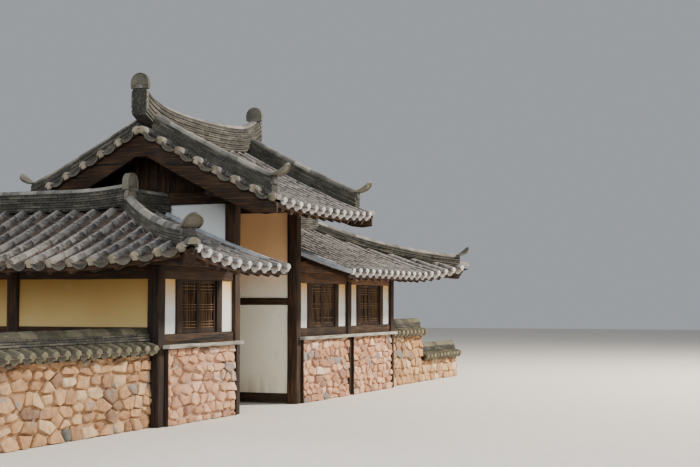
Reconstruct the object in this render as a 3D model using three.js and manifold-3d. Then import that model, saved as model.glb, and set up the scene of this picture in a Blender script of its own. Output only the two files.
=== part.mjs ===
// A Korean hanok gatehouse: a tall gate bay between two lower tiled wings, with walls along the street.
// Millimetres, +Z up, X along the street, Y from the street into the yard, origin under the gate's doors.
import * as THREE from "three";
import { mergeVertices } from "three/addons/utils/BufferGeometryUtils.js";
import Module from "manifold-3d";

const wasm = await Module();
wasm.setup();

// The timber grid
const BAY = 2150;
const POST = 170;
const HALF_POST = POST / 2;
const FRONT = -BAY / 2;
const REAR = BAY / 2;
const YARD_END = REAR + BAY;
const GATE_LEFT = -BAY / 2;
const GATE_RIGHT = BAY / 2;
const LEFT_END = GATE_LEFT - BAY;
const RIGHT_MIDDLE = GATE_RIGHT + BAY;
const RIGHT_END = RIGHT_MIDDLE + BAY;
const GAP = 0.3; // between pieces that touch
const FAR = 9000; // past everything, for cutting

// Heights in a wing wall
const LEDGE_TOP = 1045;
const SILL_TOP = 1180;
const WINDOW_TOP = 1890;
const PLATE_BOTTOM = 2060;
const PLATE_TOP = 2240;
const GROUND_BEAM_TOP = 160;
const SIDE_RAIL = [1170, 1270];
const CROSS_BEAM = [1942, 2056];
const FLOOR_TOP = 150;

// Heights in the gate
const GATE_BEAM = [40, 160];
const GATE_RAIL = [1545, 1655];
const TIE = [3000, 3170];
const PURLIN = [3070, 3244];
const RIDGE_PURLIN = [3640, 3800];
const THRESHOLD_TOP = 170;
const DOOR_HEAD = [2150, 2290];
const TOP_BEAM = 2880;

// Wall sections
const BEAM = 120;
const PLASTER = 70;
const CORE = 30; // the plaster's wattle core runs on through grooves in the timbers
const CORE_INSET = 100;
const HEAD_GROOVE = 45;
const PANEL_TOP = WINDOW_TOP + 1;
const WINDOW_WIDTH = 980;
const JAMB = 160;
const DOOR_WIDTH = 860;
const DOOR_JAMB = 110;
const LEAF = 50;
const LEAF_GAP = 2;
const GABLE_BOARD = 60;
const WAINSCOT_OUT = 135;
const WAINSCOT_IN = 60;
const LEDGE = { out: 190, thick: 50, lap: 75 };
const WINDOW = { paper: [-20, 0], bars: [-21, 32], stile: 50 };
const BEAM_END = 215; // from a post line to the sawn end of a beam that crosses it
const CROSS_BEAM_WIDTH = 130;

// Roofs: run is level from eave to ridge, and top is the height of the tile crowns at the eave
const EAVE = 975;
const SLAB = 120;
const WING_ROOF = { run: EAVE - FRONT, top: 2120, slope: 0.3, hollow: 5.12e-5, lift: 200, flare: 240 };
const GATE_ROOF = { run: 2175, top: 2970, slope: 0.42, hollow: 3.5e-5, lift: 60 };
const GATE_VERGE = 1890;
const LEFT_RIDGE_X = (LEFT_END + GATE_LEFT) / 2;
const COURT_EAVE = -575;
const REAR_VERGE = 300;
const RAFTER = { wing: 95, gate: 110, drop: 10, pitch: 310, gatePitch: 300, inset: 40, length: 1085 };
const RAFTER_AT_HIP = { gap: 230, least: 250 };
const EAVE_BOARD = { inset: 45, width: 30, depth: 50 };
const HIP_BEAM = { inset: 90, length: 1125, width: 150, depth: 190 };
const HIP_START = { near: 100, far: 250 }; // from a hip's corner to the eave board on each side
const BARGEBOARD = { at: 1800, thick: 45, depth: 290, end: 2110, taper: 480, endDepth: 130, roofGap: 4 };
const GATE_RAFTER_REACH = 1500;

// How finely the curves are made
const STEPS = { wing: 5, yard: 2, rightWing: 4, gateAlong: 8, gateAcross: 10 };
const RIDGE_STEPS = { wing: 8, gate: 12, arch: 8 };
const BOARD_STEPS = { eave: 10, hip: 4, verge: 16, rafter: 2 };

// Ridges of stacked tile, and the arched tiles that close them
const RIDGE = { wing: 230, hip: 160, gate: 350, descending: 260, sink: 100, width: 250, hipWidth: 210 };
const RIDGE_RISE = 100;
const RIDGE_SWOOP = { height: 170, power: 6 };
const HIP_END = 0.93;
const KICK = 60;
const DESCENDING = { at: 1560, end: 1960 };
const GATE_CREST = { width: 300, thick: 80, tall: 160, lean: 0 };
const APEX_CREST = { width: 220, thick: 80, tall: 130, lean: 0 };
const HORN = { width: 260, thick: 60, tall: 300, lean: Math.PI / 3, seat: 35 };

// Street walls, with a step down in the right one
const FENCE = { front: -1080, thick: 350, overhang: 115, eave: 60, rise: 90, ridge: 170, ridgeWidth: 200 };
const FENCE_TOP = 930;
const LOW_FENCE_TOP = 430;
const LEFT_FENCE_END = -7200;
const FENCE_STEP = 7400;
const RIGHT_FENCE_END = 9700;

const LOOKS = {
  timber: { color: 0x3a2a20, roughness: 0.8, metalness: 0 },
  plaster: { color: 0xd8c9a6, roughness: 0.9, metalness: 0 },
  stone: { color: 0xc79a78, roughness: 0.95, metalness: 0 },
  tile: { color: 0x6d6a68, roughness: 0.85, metalness: 0 },
  lattice: { color: 0x4a3424, roughness: 0.75, metalness: 0 },
  earth: { color: 0xb08d68, roughness: 0.95, metalness: 0 },
};
const materials = Object.fromEntries(
  Object.entries(LOOKS).map(([name, look]) => [name, new THREE.MeshStandardMaterial(look)]),
);

// Ranges

const steps = (count) => Array.from({ length: count + 1 }, (_, i) => i / count);
const spread = (from, to, count) => steps(count).map((s) => from + s * (to - from));
const centred = (width) => [-width / 2, width / 2];
const around = (middle, width) => [middle - width / 2, middle + width / 2];
const eased = ([low, high], by) => [low - by, high + by];
const ordered = (a, b) => [Math.min(a, b), Math.max(a, b)];
const pitched = (from, to, pitch) => {
  const count = Math.floor(Math.abs(to - from) / pitch);
  return Array.from({ length: count + 1 }, (_, i) => from + Math.sign(to - from) * i * pitch);
};

// Solids

function box([x0, x1], [y0, y1], [z0, z1]) {
  const shape = new THREE.BoxGeometry(x1 - x0, y1 - y0, z1 - z0);
  return shape.translate((x0 + x1) / 2, (y0 + y1) / 2, (z0 + z1) / 2);
}

function toSolid(geometry) {
  const bare = geometry.clone();
  bare.deleteAttribute("normal");
  bare.deleteAttribute("uv");
  const merged = mergeVertices(bare, 0.001);
  const mesh = new wasm.Mesh({
    numProp: 3,
    vertProperties: new Float32Array(merged.attributes.position.array),
    triVerts: new Uint32Array(merged.index.array),
  });
  return new wasm.Manifold(mesh);
}

function toGeometry(solid) {
  const mesh = solid.getMesh();
  const made = new THREE.BufferGeometry();
  made.setAttribute("position", new THREE.BufferAttribute(new Float32Array(mesh.vertProperties), 3));
  made.setIndex(new THREE.BufferAttribute(new Uint32Array(mesh.triVerts), 1));
  made.computeVertexNormals();
  return made;
}

function join(...geometries) {
  return toGeometry(geometries.map(toSolid).reduce((whole, next) => whole.add(next)));
}

function cut(geometry, ...cutters) {
  return toGeometry(cutters.map(toSolid).reduce((whole, next) => whole.subtract(next), toSolid(geometry)));
}

function indexed(points, faces) {
  const made = new THREE.BufferGeometry().setFromPoints(points);
  made.setIndex(faces);
  return made;
}

// A bar along points with its width level: below and above are measured upright from the points.
function bar(path, width, below, above) {
  const points = path.flatMap((point, i) => {
    const ahead = path[Math.min(i + 1, path.length - 1)].clone().sub(path[Math.max(i - 1, 0)]);
    const side = new THREE.Vector3(-ahead.y, ahead.x, 0).normalize().multiplyScalar(width / 2);
    const corner = (across, up) => point.clone().addScaledVector(side, across).setZ(point.z + up);
    return [corner(1, -below), corner(1, above), corner(-1, above), corner(-1, -below)];
  });
  const faces = [];
  for (let r = 0; r < path.length - 1; r++) {
    for (let i = 0; i < 4; i++) {
      const [a, b] = [4 * r + i, 4 * r + ((i + 1) % 4)];
      faces.push(a, b, b + 4, a, b + 4, a + 4);
    }
  }
  const last = 4 * (path.length - 1);
  faces.push(0, 2, 1, 0, 3, 2, last, last + 1, last + 2, last, last + 2, last + 3);
  return indexed(points, faces);
}

// An outline of (y, z) points, made solid over a range of x.
function plank(outline, [x0, x1]) {
  const shape = new THREE.Shape(outline.map(([y, z]) => new THREE.Vector2(y, z)));
  const prism = new THREE.ExtrudeGeometry(shape, { depth: x1 - x0, bevelEnabled: false });
  return prism.rotateX(Math.PI / 2).rotateZ(Math.PI / 2).translate(x0, 0, 0);
}

// Roof surfaces: each roof has a point over (x, y), and the grid lines that its slab is made on.

const { run } = WING_ROOF;
const climb = (roof, inward) => roof.top + roof.slope * inward + roof.hollow * inward * inward;

// A wing's surface is lifted and spread toward its hipped corners.
function wingPoint(roof, x, y) {
  const point = new THREE.Vector3(x, y, climb(WING_ROOF, roof.inward(x, y)));
  for (const [cx, cy, sx, sy] of roof.corners) {
    const away = Math.max(Math.abs(x - cx), Math.abs(y - cy)) / run;
    const near = Math.max(0, 1 - away) ** 2;
    const corner = new THREE.Vector3(sx * WING_ROOF.flare, sy * WING_ROOF.flare, WING_ROOF.lift);
    point.addScaledVector(corner, near);
  }
  return point;
}

// The left wing turns back from the street, and a short cross roof joins it to the gate.
const leftRoof = {
  corners: [[LEFT_RIDGE_X - run, -run, -1, -1]],
  inward(x, y) {
    const wing = Math.min(run - Math.abs(x - LEFT_RIDGE_X), y + run);
    return x > LEFT_RIDGE_X ? Math.max(wing, run - Math.abs(y)) : wing;
  },
  point: (x, y) => wingPoint(leftRoof, x, y),
  xs: spread(LEFT_RIDGE_X - run, LEFT_RIDGE_X + run, 2 * STEPS.wing),
  ys: [
    ...spread(-run, run, 2 * STEPS.wing),
    ...spread(run, YARD_END + REAR_VERGE, STEPS.yard).slice(1),
  ],
};

const RIGHT_EAVE_X = RIGHT_END + EAVE;
const rightRoof = {
  corners: [
    [RIGHT_EAVE_X, -run, 1, -1],
    [RIGHT_EAVE_X, run, 1, 1],
  ],
  inward: (x, y) => Math.min(run - Math.abs(y), RIGHT_EAVE_X - x),
  point: (x, y) => wingPoint(rightRoof, x, y),
  xs: [
    ...spread(GATE_RIGHT + HALF_POST + GAP, RIGHT_EAVE_X - run, STEPS.rightWing),
    ...spread(RIGHT_EAVE_X - run, RIGHT_EAVE_X, STEPS.wing).slice(1),
  ],
  ys: spread(-run, run, 2 * STEPS.wing),
};

const gateRoof = {
  point(x, y) {
    const end = GATE_ROOF.lift * (x / GATE_VERGE) ** 2;
    return new THREE.Vector3(x, y, climb(GATE_ROOF, GATE_ROOF.run - Math.abs(y)) + end);
  },
  xs: spread(-GATE_VERGE, GATE_VERGE, STEPS.gateAlong),
  ys: spread(-GATE_ROOF.run, GATE_ROOF.run, STEPS.gateAcross),
};

// The corners of a grid cell, turned so that the first and third lie on its crease.
function creased(roof, i, j) {
  const { xs, ys } = roof;
  const height = (p, q) => roof.point(xs[p], ys[q]).z;
  const centre = roof.point((xs[i] + xs[i + 1]) / 2, (ys[j] + ys[j + 1]) / 2).z;
  const rising = Math.abs((height(i, j) + height(i + 1, j + 1)) / 2 - centre);
  const falling = Math.abs((height(i + 1, j) + height(i, j + 1)) / 2 - centre);
  const cell = [
    [i, j],
    [i + 1, j],
    [i + 1, j + 1],
    [i, j + 1],
  ];
  return rising <= falling ? cell : [...cell.slice(1), cell[0]];
}

// A solid over a roof's grid, from low(z) up to high(z).
function roofSolid(roof, low, high) {
  const { xs, ys } = roof;
  const [lastX, lastY] = [xs.length - 1, ys.length - 1];
  const points = [low, high].flatMap((level) => {
    return xs.flatMap((x) => ys.map((y) => roof.point(x, y)).map((p) => p.setZ(level(p.z))));
  });
  const id = (i, j, up) => up * xs.length * ys.length + i * ys.length + j;
  const faces = [];
  for (let i = 0; i < lastX; i++) {
    for (let j = 0; j < lastY; j++) {
      const [a, b, c, d] = creased(roof, i, j);
      faces.push(...[a, b, c, a, c, d].map(([p, q]) => id(p, q, 1)));
      faces.push(...[a, c, b, a, d, c].map(([p, q]) => id(p, q, 0)));
    }
  }
  const rim = [
    ...xs.slice(1).map((_, i) => [i, 0]),
    ...ys.slice(1).map((_, j) => [lastX, j]),
    ...xs.slice(1).map((_, i) => [lastX - i, lastY]),
    ...ys.slice(1).map((_, j) => [0, lastY - j]),
  ];
  rim.forEach(([i, j], k) => {
    const [p, q] = rim[(k + 1) % rim.length];
    faces.push(id(i, j, 0), id(p, q, 0), id(p, q, 1), id(i, j, 0), id(p, q, 1), id(i, j, 1));
  });
  return indexed(points, faces);
}

const slabOf = (roof) => roofSolid(roof, (z) => z - SLAB, (z) => z);
const skyOver = (roof) => roofSolid(roof, (z) => z - SLAB - GAP, () => FAR);
const massUnder = (roof, gap = GAP) => roofSolid(roof, () => 0, (z) => z + gap);

// The assembly

const house = new THREE.Group();

function add(name, look, geometry) {
  const mesh = new THREE.Mesh(geometry, materials[look]);
  mesh.name = name;
  house.add(mesh);
}

// Walls stand on lines: u runs along a line, and v from its middle to the outside.

const STREET = { along: "x", at: FRONT, out: -1 };
const YARD = { along: "x", at: REAR, out: 1 };
const LEFT_BACK = { along: "x", at: YARD_END, out: 1 };
const DOORS = { along: "x", at: 0, out: -1 };
const LEFT_SIDE = { along: "y", at: LEFT_END, out: -1 };
const LEFT_COURT = { along: "y", at: GATE_LEFT, out: 1 };
const RIGHT_SIDE = { along: "y", at: RIGHT_END, out: 1 };

function onLine(line, us, vs, zs) {
  const across = ordered(line.at + line.out * vs[0], line.at + line.out * vs[1]);
  return line.along === "x" ? box(us, across, zs) : box(across, us, zs);
}

const clearOf = (middle) => eased([middle - BAY / 2, middle + BAY / 2], -HALF_POST);
const rail = (line, us, zs) => onLine(line, us, centred(BEAM), zs);
const postAt = (line, u, top) => onLine(line, around(u, POST), centred(POST), [0, top]);
const outside = (line, [low, high]) => [
  onLine(line, [-2 * FAR, low], centred(4 * POST), [-1, FAR]),
  onLine(line, [high, 2 * FAR], centred(4 * POST), [-1, FAR]),
];

// Plaster panels and the core that joins them. With ease they are the grooves that they need in timber.
function plasterOn(line, { panels, cores }, ease = 0) {
  const grown = (pieces, width) => {
    const across = centred(width + 2 * ease);
    return pieces.map(([us, zs]) => onLine(line, eased(us, ease), across, eased(zs, ease)));
  };
  return join(...grown(panels, PLASTER), ...grown(cores, CORE));
}

// A plain bay has a ground beam, a rail and two panels.
function plainBay(line, middle) {
  const clear = clearOf(middle);
  const whole = around(middle, BAY);
  return {
    timbers: [rail(line, whole, [0, GROUND_BEAM_TOP]), rail(line, whole, SIDE_RAIL)],
    panels: [
      [clear, [GROUND_BEAM_TOP, SIDE_RAIL[0]]],
      [clear, [SIDE_RAIL[1], PANEL_TOP]],
    ],
    cores: [[eased(clear, -CORE_INSET), eased(SIDE_RAIL, 1)]],
    openings: [],
  };
}

// A street bay stands on a wainscot: a sill beam, a window between jambs, and plaster on each side.
function windowBay(line, middle) {
  const clear = clearOf(middle);
  const edge = WINDOW_WIDTH / 2 + JAMB;
  const jamb = (side) => around(middle + side * (edge - JAMB / 2), JAMB);
  return {
    timbers: [
      rail(line, around(middle, BAY), [LEDGE_TOP, SILL_TOP]),
      ...[-1, 1].map((side) => rail(line, jamb(side), [SILL_TOP - 1, WINDOW_TOP + 1])),
    ],
    panels: [
      [[clear[0], middle - edge], [SILL_TOP, PANEL_TOP]],
      [[middle + edge, clear[1]], [SILL_TOP, PANEL_TOP]],
    ],
    cores: [],
    openings: [],
  };
}

// The same bay in the yard, where plaster and a ground beam take the wainscot's place.
function yardWindowBay(line, middle) {
  const bay = windowBay(line, middle);
  const core = ([us]) => [eased(us, -CORE_INSET / 2), [LEDGE_TOP - 1, SILL_TOP + 1]];
  return {
    ...bay,
    timbers: [...bay.timbers, rail(line, around(middle, BAY), [0, GROUND_BEAM_TOP])],
    panels: [...bay.panels, [clearOf(middle), [GROUND_BEAM_TOP, LEDGE_TOP]]],
    cores: bay.panels.map(core),
  };
}

// A plain bay with a doorway and its jambs in the middle.
function doorBay(line, middle) {
  const bay = plainBay(line, middle);
  const edge = DOOR_WIDTH / 2 + DOOR_JAMB;
  const jamb = (side) => around(middle + side * (edge - DOOR_JAMB / 2), DOOR_JAMB);
  const [low, high] = clearOf(middle);
  const sides = [
    [low, middle - edge],
    [middle + edge, high],
  ];
  const jambs = [-1, 1].map((side) => rail(line, jamb(side), [GROUND_BEAM_TOP - 1, WINDOW_TOP + 1]));
  return {
    timbers: [...bay.timbers, ...jambs],
    panels: sides.flatMap((us) => bay.panels.map(([, zs]) => [us, zs])),
    cores: sides.map((us) => [eased(us, -CORE_INSET), eased(SIDE_RAIL, 1)]),
    openings: [onLine(line, around(middle, DOOR_WIDTH), centred(POST), [GROUND_BEAM_TOP, WINDOW_TOP])],
  };
}

// One line of wing wall: its frame, with the posts it owns, the head beam and the plate, and its plaster.
function wingWall(name, line, { posts = [], bays, ends, plateEnds = ends, gable = [], cutters = [] }) {
  const head = rail(line, ends, [WINDOW_TOP, PLATE_BOTTOM + 1]);
  const plate = onLine(line, plateEnds, centred(POST), [PLATE_BOTTOM, PLATE_TOP]);
  const standing = posts.map((u) => postAt(line, u, PLATE_BOTTOM + 1));
  const trims = [...bays.flatMap((bay) => bay.openings), ...cutters];
  const infill = {
    panels: [...bays.flatMap((bay) => bay.panels), ...gable],
    cores: [
      ...bays.flatMap((bay) => bay.cores),
      [ends, [WINDOW_TOP, WINDOW_TOP + HEAD_GROOVE]],
      ...gable.map(([us]) => [eased(us, -CORE_INSET), [WINDOW_TOP - 1, PLATE_TOP + 1]]),
    ],
  };
  const timbers = cut(join(head, ...standing, ...bays.flatMap((bay) => bay.timbers)), ...outside(line, ends));
  add(name + "_frame", "timber", cut(join(timbers, plate), plasterOn(line, infill, GAP), ...trims));
  add(name + "_plaster", "plaster", cut(plasterOn(line, infill), ...outside(line, ends), ...trims));
}

function latticeWindow(name, line, middle) {
  const us = around(middle, WINDOW_WIDTH - 2 * GAP);
  const [low, high] = [SILL_TOP + GAP, WINDOW_TOP - GAP];
  const { paper, bars, stile } = WINDOW;
  const edge = (us[1] - us[0] - stile) / 2;
  const upright = (offset) => onLine(line, around(middle + offset, stile), bars, [low, high]);
  const level = (z) => onLine(line, us, bars, [z, z + stile]);
  const pane = onLine(line, us, paper, [low, high]);
  const uprights = [-edge, 0, edge].map(upright);
  add(name, "lattice", join(pane, ...uprights, level(low), level(high - stile)));
}

function wainscot(name, middle) {
  const us = eased(clearOf(middle), -GAP);
  const under = LEDGE_TOP - LEDGE.thick;
  const top = LEDGE_TOP - GAP;
  const rubble = onLine(STREET, us, [-WAINSCOT_IN, WAINSCOT_OUT], [0, under + 1]);
  const ledge = onLine(STREET, us, [-WAINSCOT_IN, LEDGE.out], [under, top]);
  const lap = onLine(STREET, eased(us, LEDGE.lap), [HALF_POST + GAP, LEDGE.out], [under, top]);
  add(name, "stone", join(rubble, ledge, lap));
}

function plankDoor(name, line, middle) {
  const zs = [GROUND_BEAM_TOP + GAP, WINDOW_TOP - GAP];
  add(name, "timber", onLine(line, around(middle, DOOR_WIDTH - 2 * LEAF_GAP), centred(LEAF), zs));
}

function floor(name, [x0, x1], [y0, y1]) {
  const inset = HALF_POST + GAP;
  add(name, "earth", box([x0 + inset, x1 - inset], [y0 + inset, y1 - inset], [0, FLOOR_TOP]));
}

const face = HALF_POST + GAP;

function leftWing() {
  const yardMiddle = (REAR + YARD_END) / 2;
  wingWall("left_wing_side", LEFT_SIDE, {
    posts: [FRONT, REAR, YARD_END],
    bays: [plainBay(LEFT_SIDE, 0), plainBay(LEFT_SIDE, yardMiddle)],
    ends: [FRONT - HALF_POST, YARD_END + HALF_POST],
    plateEnds: [FRONT - BEAM_END, YARD_END + HALF_POST],
  });
  wingWall("left_wing_street", STREET, {
    bays: [windowBay(STREET, LEFT_RIDGE_X)],
    ends: [LEFT_END + face, GATE_LEFT - face],
  });
  wingWall("left_wing_back", LEFT_BACK, {
    posts: [GATE_LEFT],
    bays: [plainBay(LEFT_BACK, LEFT_RIDGE_X)],
    ends: [LEFT_END + face, GATE_LEFT + HALF_POST],
    gable: [[eased(clearOf(LEFT_RIDGE_X), -CORE_INSET), [PLATE_TOP, FAR / 2]]],
    cutters: [skyOver(leftRoof)],
  });
  wingWall("left_wing_court", LEFT_COURT, {
    bays: [doorBay(LEFT_COURT, yardMiddle)],
    ends: [REAR + face, YARD_END - face],
  });
  plankDoor("left_wing_court_door", LEFT_COURT, yardMiddle);
  wainscot("left_wing_wainscot", LEFT_RIDGE_X);
  latticeWindow("left_wing_window", STREET, LEFT_RIDGE_X);
  floor("left_wing_floor", [LEFT_END, GATE_LEFT], [FRONT, YARD_END]);
}

const bayMiddles = [GATE_RIGHT + BAY / 2, RIGHT_MIDDLE + BAY / 2];

const crossBeam = (ease) => {
  const xs = around(RIGHT_MIDDLE, CROSS_BEAM_WIDTH + 2 * ease);
  return box(xs, [FRONT - BEAM_END - ease, REAR + BEAM_END + ease], eased(CROSS_BEAM, ease));
};

function rightWing() {
  const ends = [GATE_RIGHT + face, RIGHT_END - face];
  wingWall("right_wing_street", STREET, {
    posts: [RIGHT_MIDDLE],
    bays: bayMiddles.map((middle) => windowBay(STREET, middle)),
    ends,
    cutters: [crossBeam(GAP)],
  });
  wingWall("right_wing_yard", YARD, {
    posts: [RIGHT_MIDDLE],
    bays: [doorBay(YARD, bayMiddles[0]), yardWindowBay(YARD, bayMiddles[1])],
    ends,
    cutters: [crossBeam(GAP)],
  });
  wingWall("right_wing_side", RIGHT_SIDE, {
    posts: [FRONT, REAR],
    bays: [plainBay(RIGHT_SIDE, 0)],
    ends: [FRONT - HALF_POST, REAR + HALF_POST],
    plateEnds: [FRONT - BEAM_END, REAR + BEAM_END],
  });
  add("right_wing_cross_beam", "timber", crossBeam(0));
  bayMiddles.forEach((middle, i) => {
    wainscot("right_wing_wainscot_" + (i + 1), middle);
    latticeWindow("right_wing_window_" + (i + 1), STREET, middle);
  });
  plankDoor("right_wing_yard_door", YARD, bayMiddles[0]);
  latticeWindow("right_wing_yard_window", YARD, bayMiddles[1]);
  floor("right_wing_floor", [GATE_RIGHT, RIGHT_END], [FRONT, REAR]);
}

// The gate

const purlins = (ease) => {
  const xs = centred(2 * (BARGEBOARD.at - BARGEBOARD.thick / 2 - GAP) + 2 * ease);
  const size = PURLIN[1] - PURLIN[0] + 2 * ease;
  return [FRONT, REAR].map((y) => box(xs, around(y, size), eased(PURLIN, ease)));
};

const GATE_SIDES = [
  { along: "y", at: GATE_LEFT, out: -1 },
  { along: "y", at: GATE_RIGHT, out: 1 },
];
const tie = (line, ease = 0) => {
  return onLine(line, eased([FRONT, REAR], BEAM_END + ease), centred(POST + 2 * ease), eased(TIE, ease));
};

function gateSide(name, line) {
  const spans = [eased([FRONT, 0], -HALF_POST), eased([0, REAR], -HALF_POST)];
  const infill = {
    panels: spans.flatMap((us) => [
      [us, [GATE_BEAM[1], GATE_RAIL[0]]],
      [us, [GATE_RAIL[1], TIE[0]]],
    ]),
    cores: [
      ...spans.map((us) => [eased(us, -CORE_INSET), eased(GATE_RAIL, 1)]),
      [centred(POST + 2), eased(SIDE_RAIL, CORE_INSET)],
    ],
  };
  const timbers = join(
    ...[FRONT, 0, REAR].map((y) => postAt(line, y, TIE[0] + 1)),
    rail(line, [FRONT, REAR], GATE_BEAM),
    rail(line, [FRONT, REAR], GATE_RAIL),
    tie(line),
  );
  add(name + "_frame", "timber", cut(timbers, plasterOn(line, infill, GAP), ...purlins(GAP)));
  add(name + "_plaster", "plaster", plasterOn(line, infill));
}

function gateDoors() {
  const outer = BAY / 2 - face;
  const inner = BAY / 2 - HALF_POST - DOOR_JAMB;
  const [low, top] = [THRESHOLD_TOP + GAP, TIE[0] - GAP];
  add("gate_threshold", "timber", rail(DOORS, [-outer, outer], [0, THRESHOLD_TOP]));
  add(
    "gate_door_frame",
    "timber",
    join(
      rail(DOORS, [-outer, -inner], [low, top]),
      rail(DOORS, [inner, outer], [low, top]),
      rail(DOORS, [-outer, outer], DOOR_HEAD),
      rail(DOORS, [-outer, outer], [TOP_BEAM, top]),
    ),
  );
  const over = [DOOR_HEAD[1] + GAP, TOP_BEAM - GAP];
  add("gate_over_door_panel", "plaster", onLine(DOORS, [GAP - inner, inner - GAP], centred(PLASTER), over));
  const leaf = (us) => onLine(DOORS, us, centred(LEAF), [low, DOOR_HEAD[0] - GAP]);
  add("gate_door_left", "timber", leaf([LEAF_GAP - inner, -LEAF_GAP]));
  add("gate_door_right", "timber", leaf([LEAF_GAP, inner - LEAF_GAP]));
}

// Purlins out to the verges, and at each side a king post in a boarded gable.
function gateRoofFrame() {
  const reach = BARGEBOARD.at - BARGEBOARD.thick / 2 - GAP;
  const ridge = box(centred(2 * reach), centred(POST), RIDGE_PURLIN);
  const gable = (x) => box(around(x, GABLE_BOARD), [FRONT + 1, REAR - 1], [TIE[1] + GAP, FAR / 2]);
  const king = (x) => box(around(x, POST), centred(POST), [TIE[1] + GAP, RIDGE_PURLIN[1] - 1]);
  const sides = [GATE_LEFT, GATE_RIGHT].flatMap((x) => [gable(x), king(x)]);
  add("gate_roof_frame", "timber", cut(join(ridge, ...purlins(0), ...sides), skyOver(gateRoof)));
}

// The depth of a bargeboard, which tapers toward the eaves.
function boardDepth(y) {
  const near = Math.max(0, (Math.abs(y) - BARGEBOARD.end + BARGEBOARD.taper) / BARGEBOARD.taper);
  return BARGEBOARD.depth - (BARGEBOARD.depth - BARGEBOARD.endDepth) * near ** 2;
}

function bargeboards() {
  const stops = spread(-BARGEBOARD.end, BARGEBOARD.end, BOARD_STEPS.verge);
  for (const [name, x] of [["left", -BARGEBOARD.at], ["right", BARGEBOARD.at]]) {
    const top = (y) => gateRoof.point(x, y).z - SLAB + 1;
    const upper = stops.map((y) => [y, top(y)]);
    const lower = upper.map(([y, z]) => [y, z - boardDepth(y)]);
    const outline = [...lower, ...upper.reverse()];
    const board = plank(outline, around(x, BARGEBOARD.thick));
    const clear = [skyOver(gateRoof), massUnder(leftRoof, BARGEBOARD.roofGap)];
    add("gate_bargeboard_" + name, "timber", cut(board, ...clear));
  }
}

// Rafters under the eaves, joined by the board along their ends

function rafter(roof, [x0, y0], [x1, y1], size) {
  const path = steps(BOARD_STEPS.rafter).map((s) => roof.point(x0 + s * (x1 - x0), y0 + s * (y1 - y0)));
  return bar(path, size, SLAB + size, -SLAB - RAFTER.drop);
}

// place(along, inward) gives (x, y) on one side of a roof, and hip(along) how far in a hip lets a rafter go.
function raftersUnder(name, roof, sides, seats) {
  const { place, alongs, board, hip = () => FAR, size = RAFTER.wing, extra = [] } = sides;
  const lengths = alongs.map((along) => [along, Math.min(RAFTER.length, hip(along) - RAFTER_AT_HIP.gap)]);
  const bars = lengths
    .filter(([, length]) => length > RAFTER_AT_HIP.least)
    .map(([along, length]) => rafter(roof, place(along, RAFTER.inset), place(along, length), size));
  const places = spread(...board, BOARD_STEPS.eave).map((along) => place(along, EAVE_BOARD.inset));
  const path = places.map(([x, y]) => roof.point(x, y));
  const eaveBoard = bar(path, EAVE_BOARD.width, SLAB + EAVE_BOARD.depth, 1 - SLAB);
  const underSlab = cut(join(eaveBoard, ...extra), skyOver(roof));
  add(name, "timber", cut(join(underSlab, ...bars), ...seats));
}

function hipBeam(roof, [cx, cy, sx, sy]) {
  const inward = [HIP_BEAM.inset, HIP_BEAM.length];
  const path = spread(...inward, BOARD_STEPS.hip).map((d) => roof.point(cx - sx * d, cy - sy * d));
  return bar(path, HIP_BEAM.width, SLAB + HIP_BEAM.depth, 1 - SLAB);
}

const plateSeat = (xs, ys) => box(eased(xs, face), eased(ys, face), [0, PLATE_TOP + GAP]);

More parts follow.
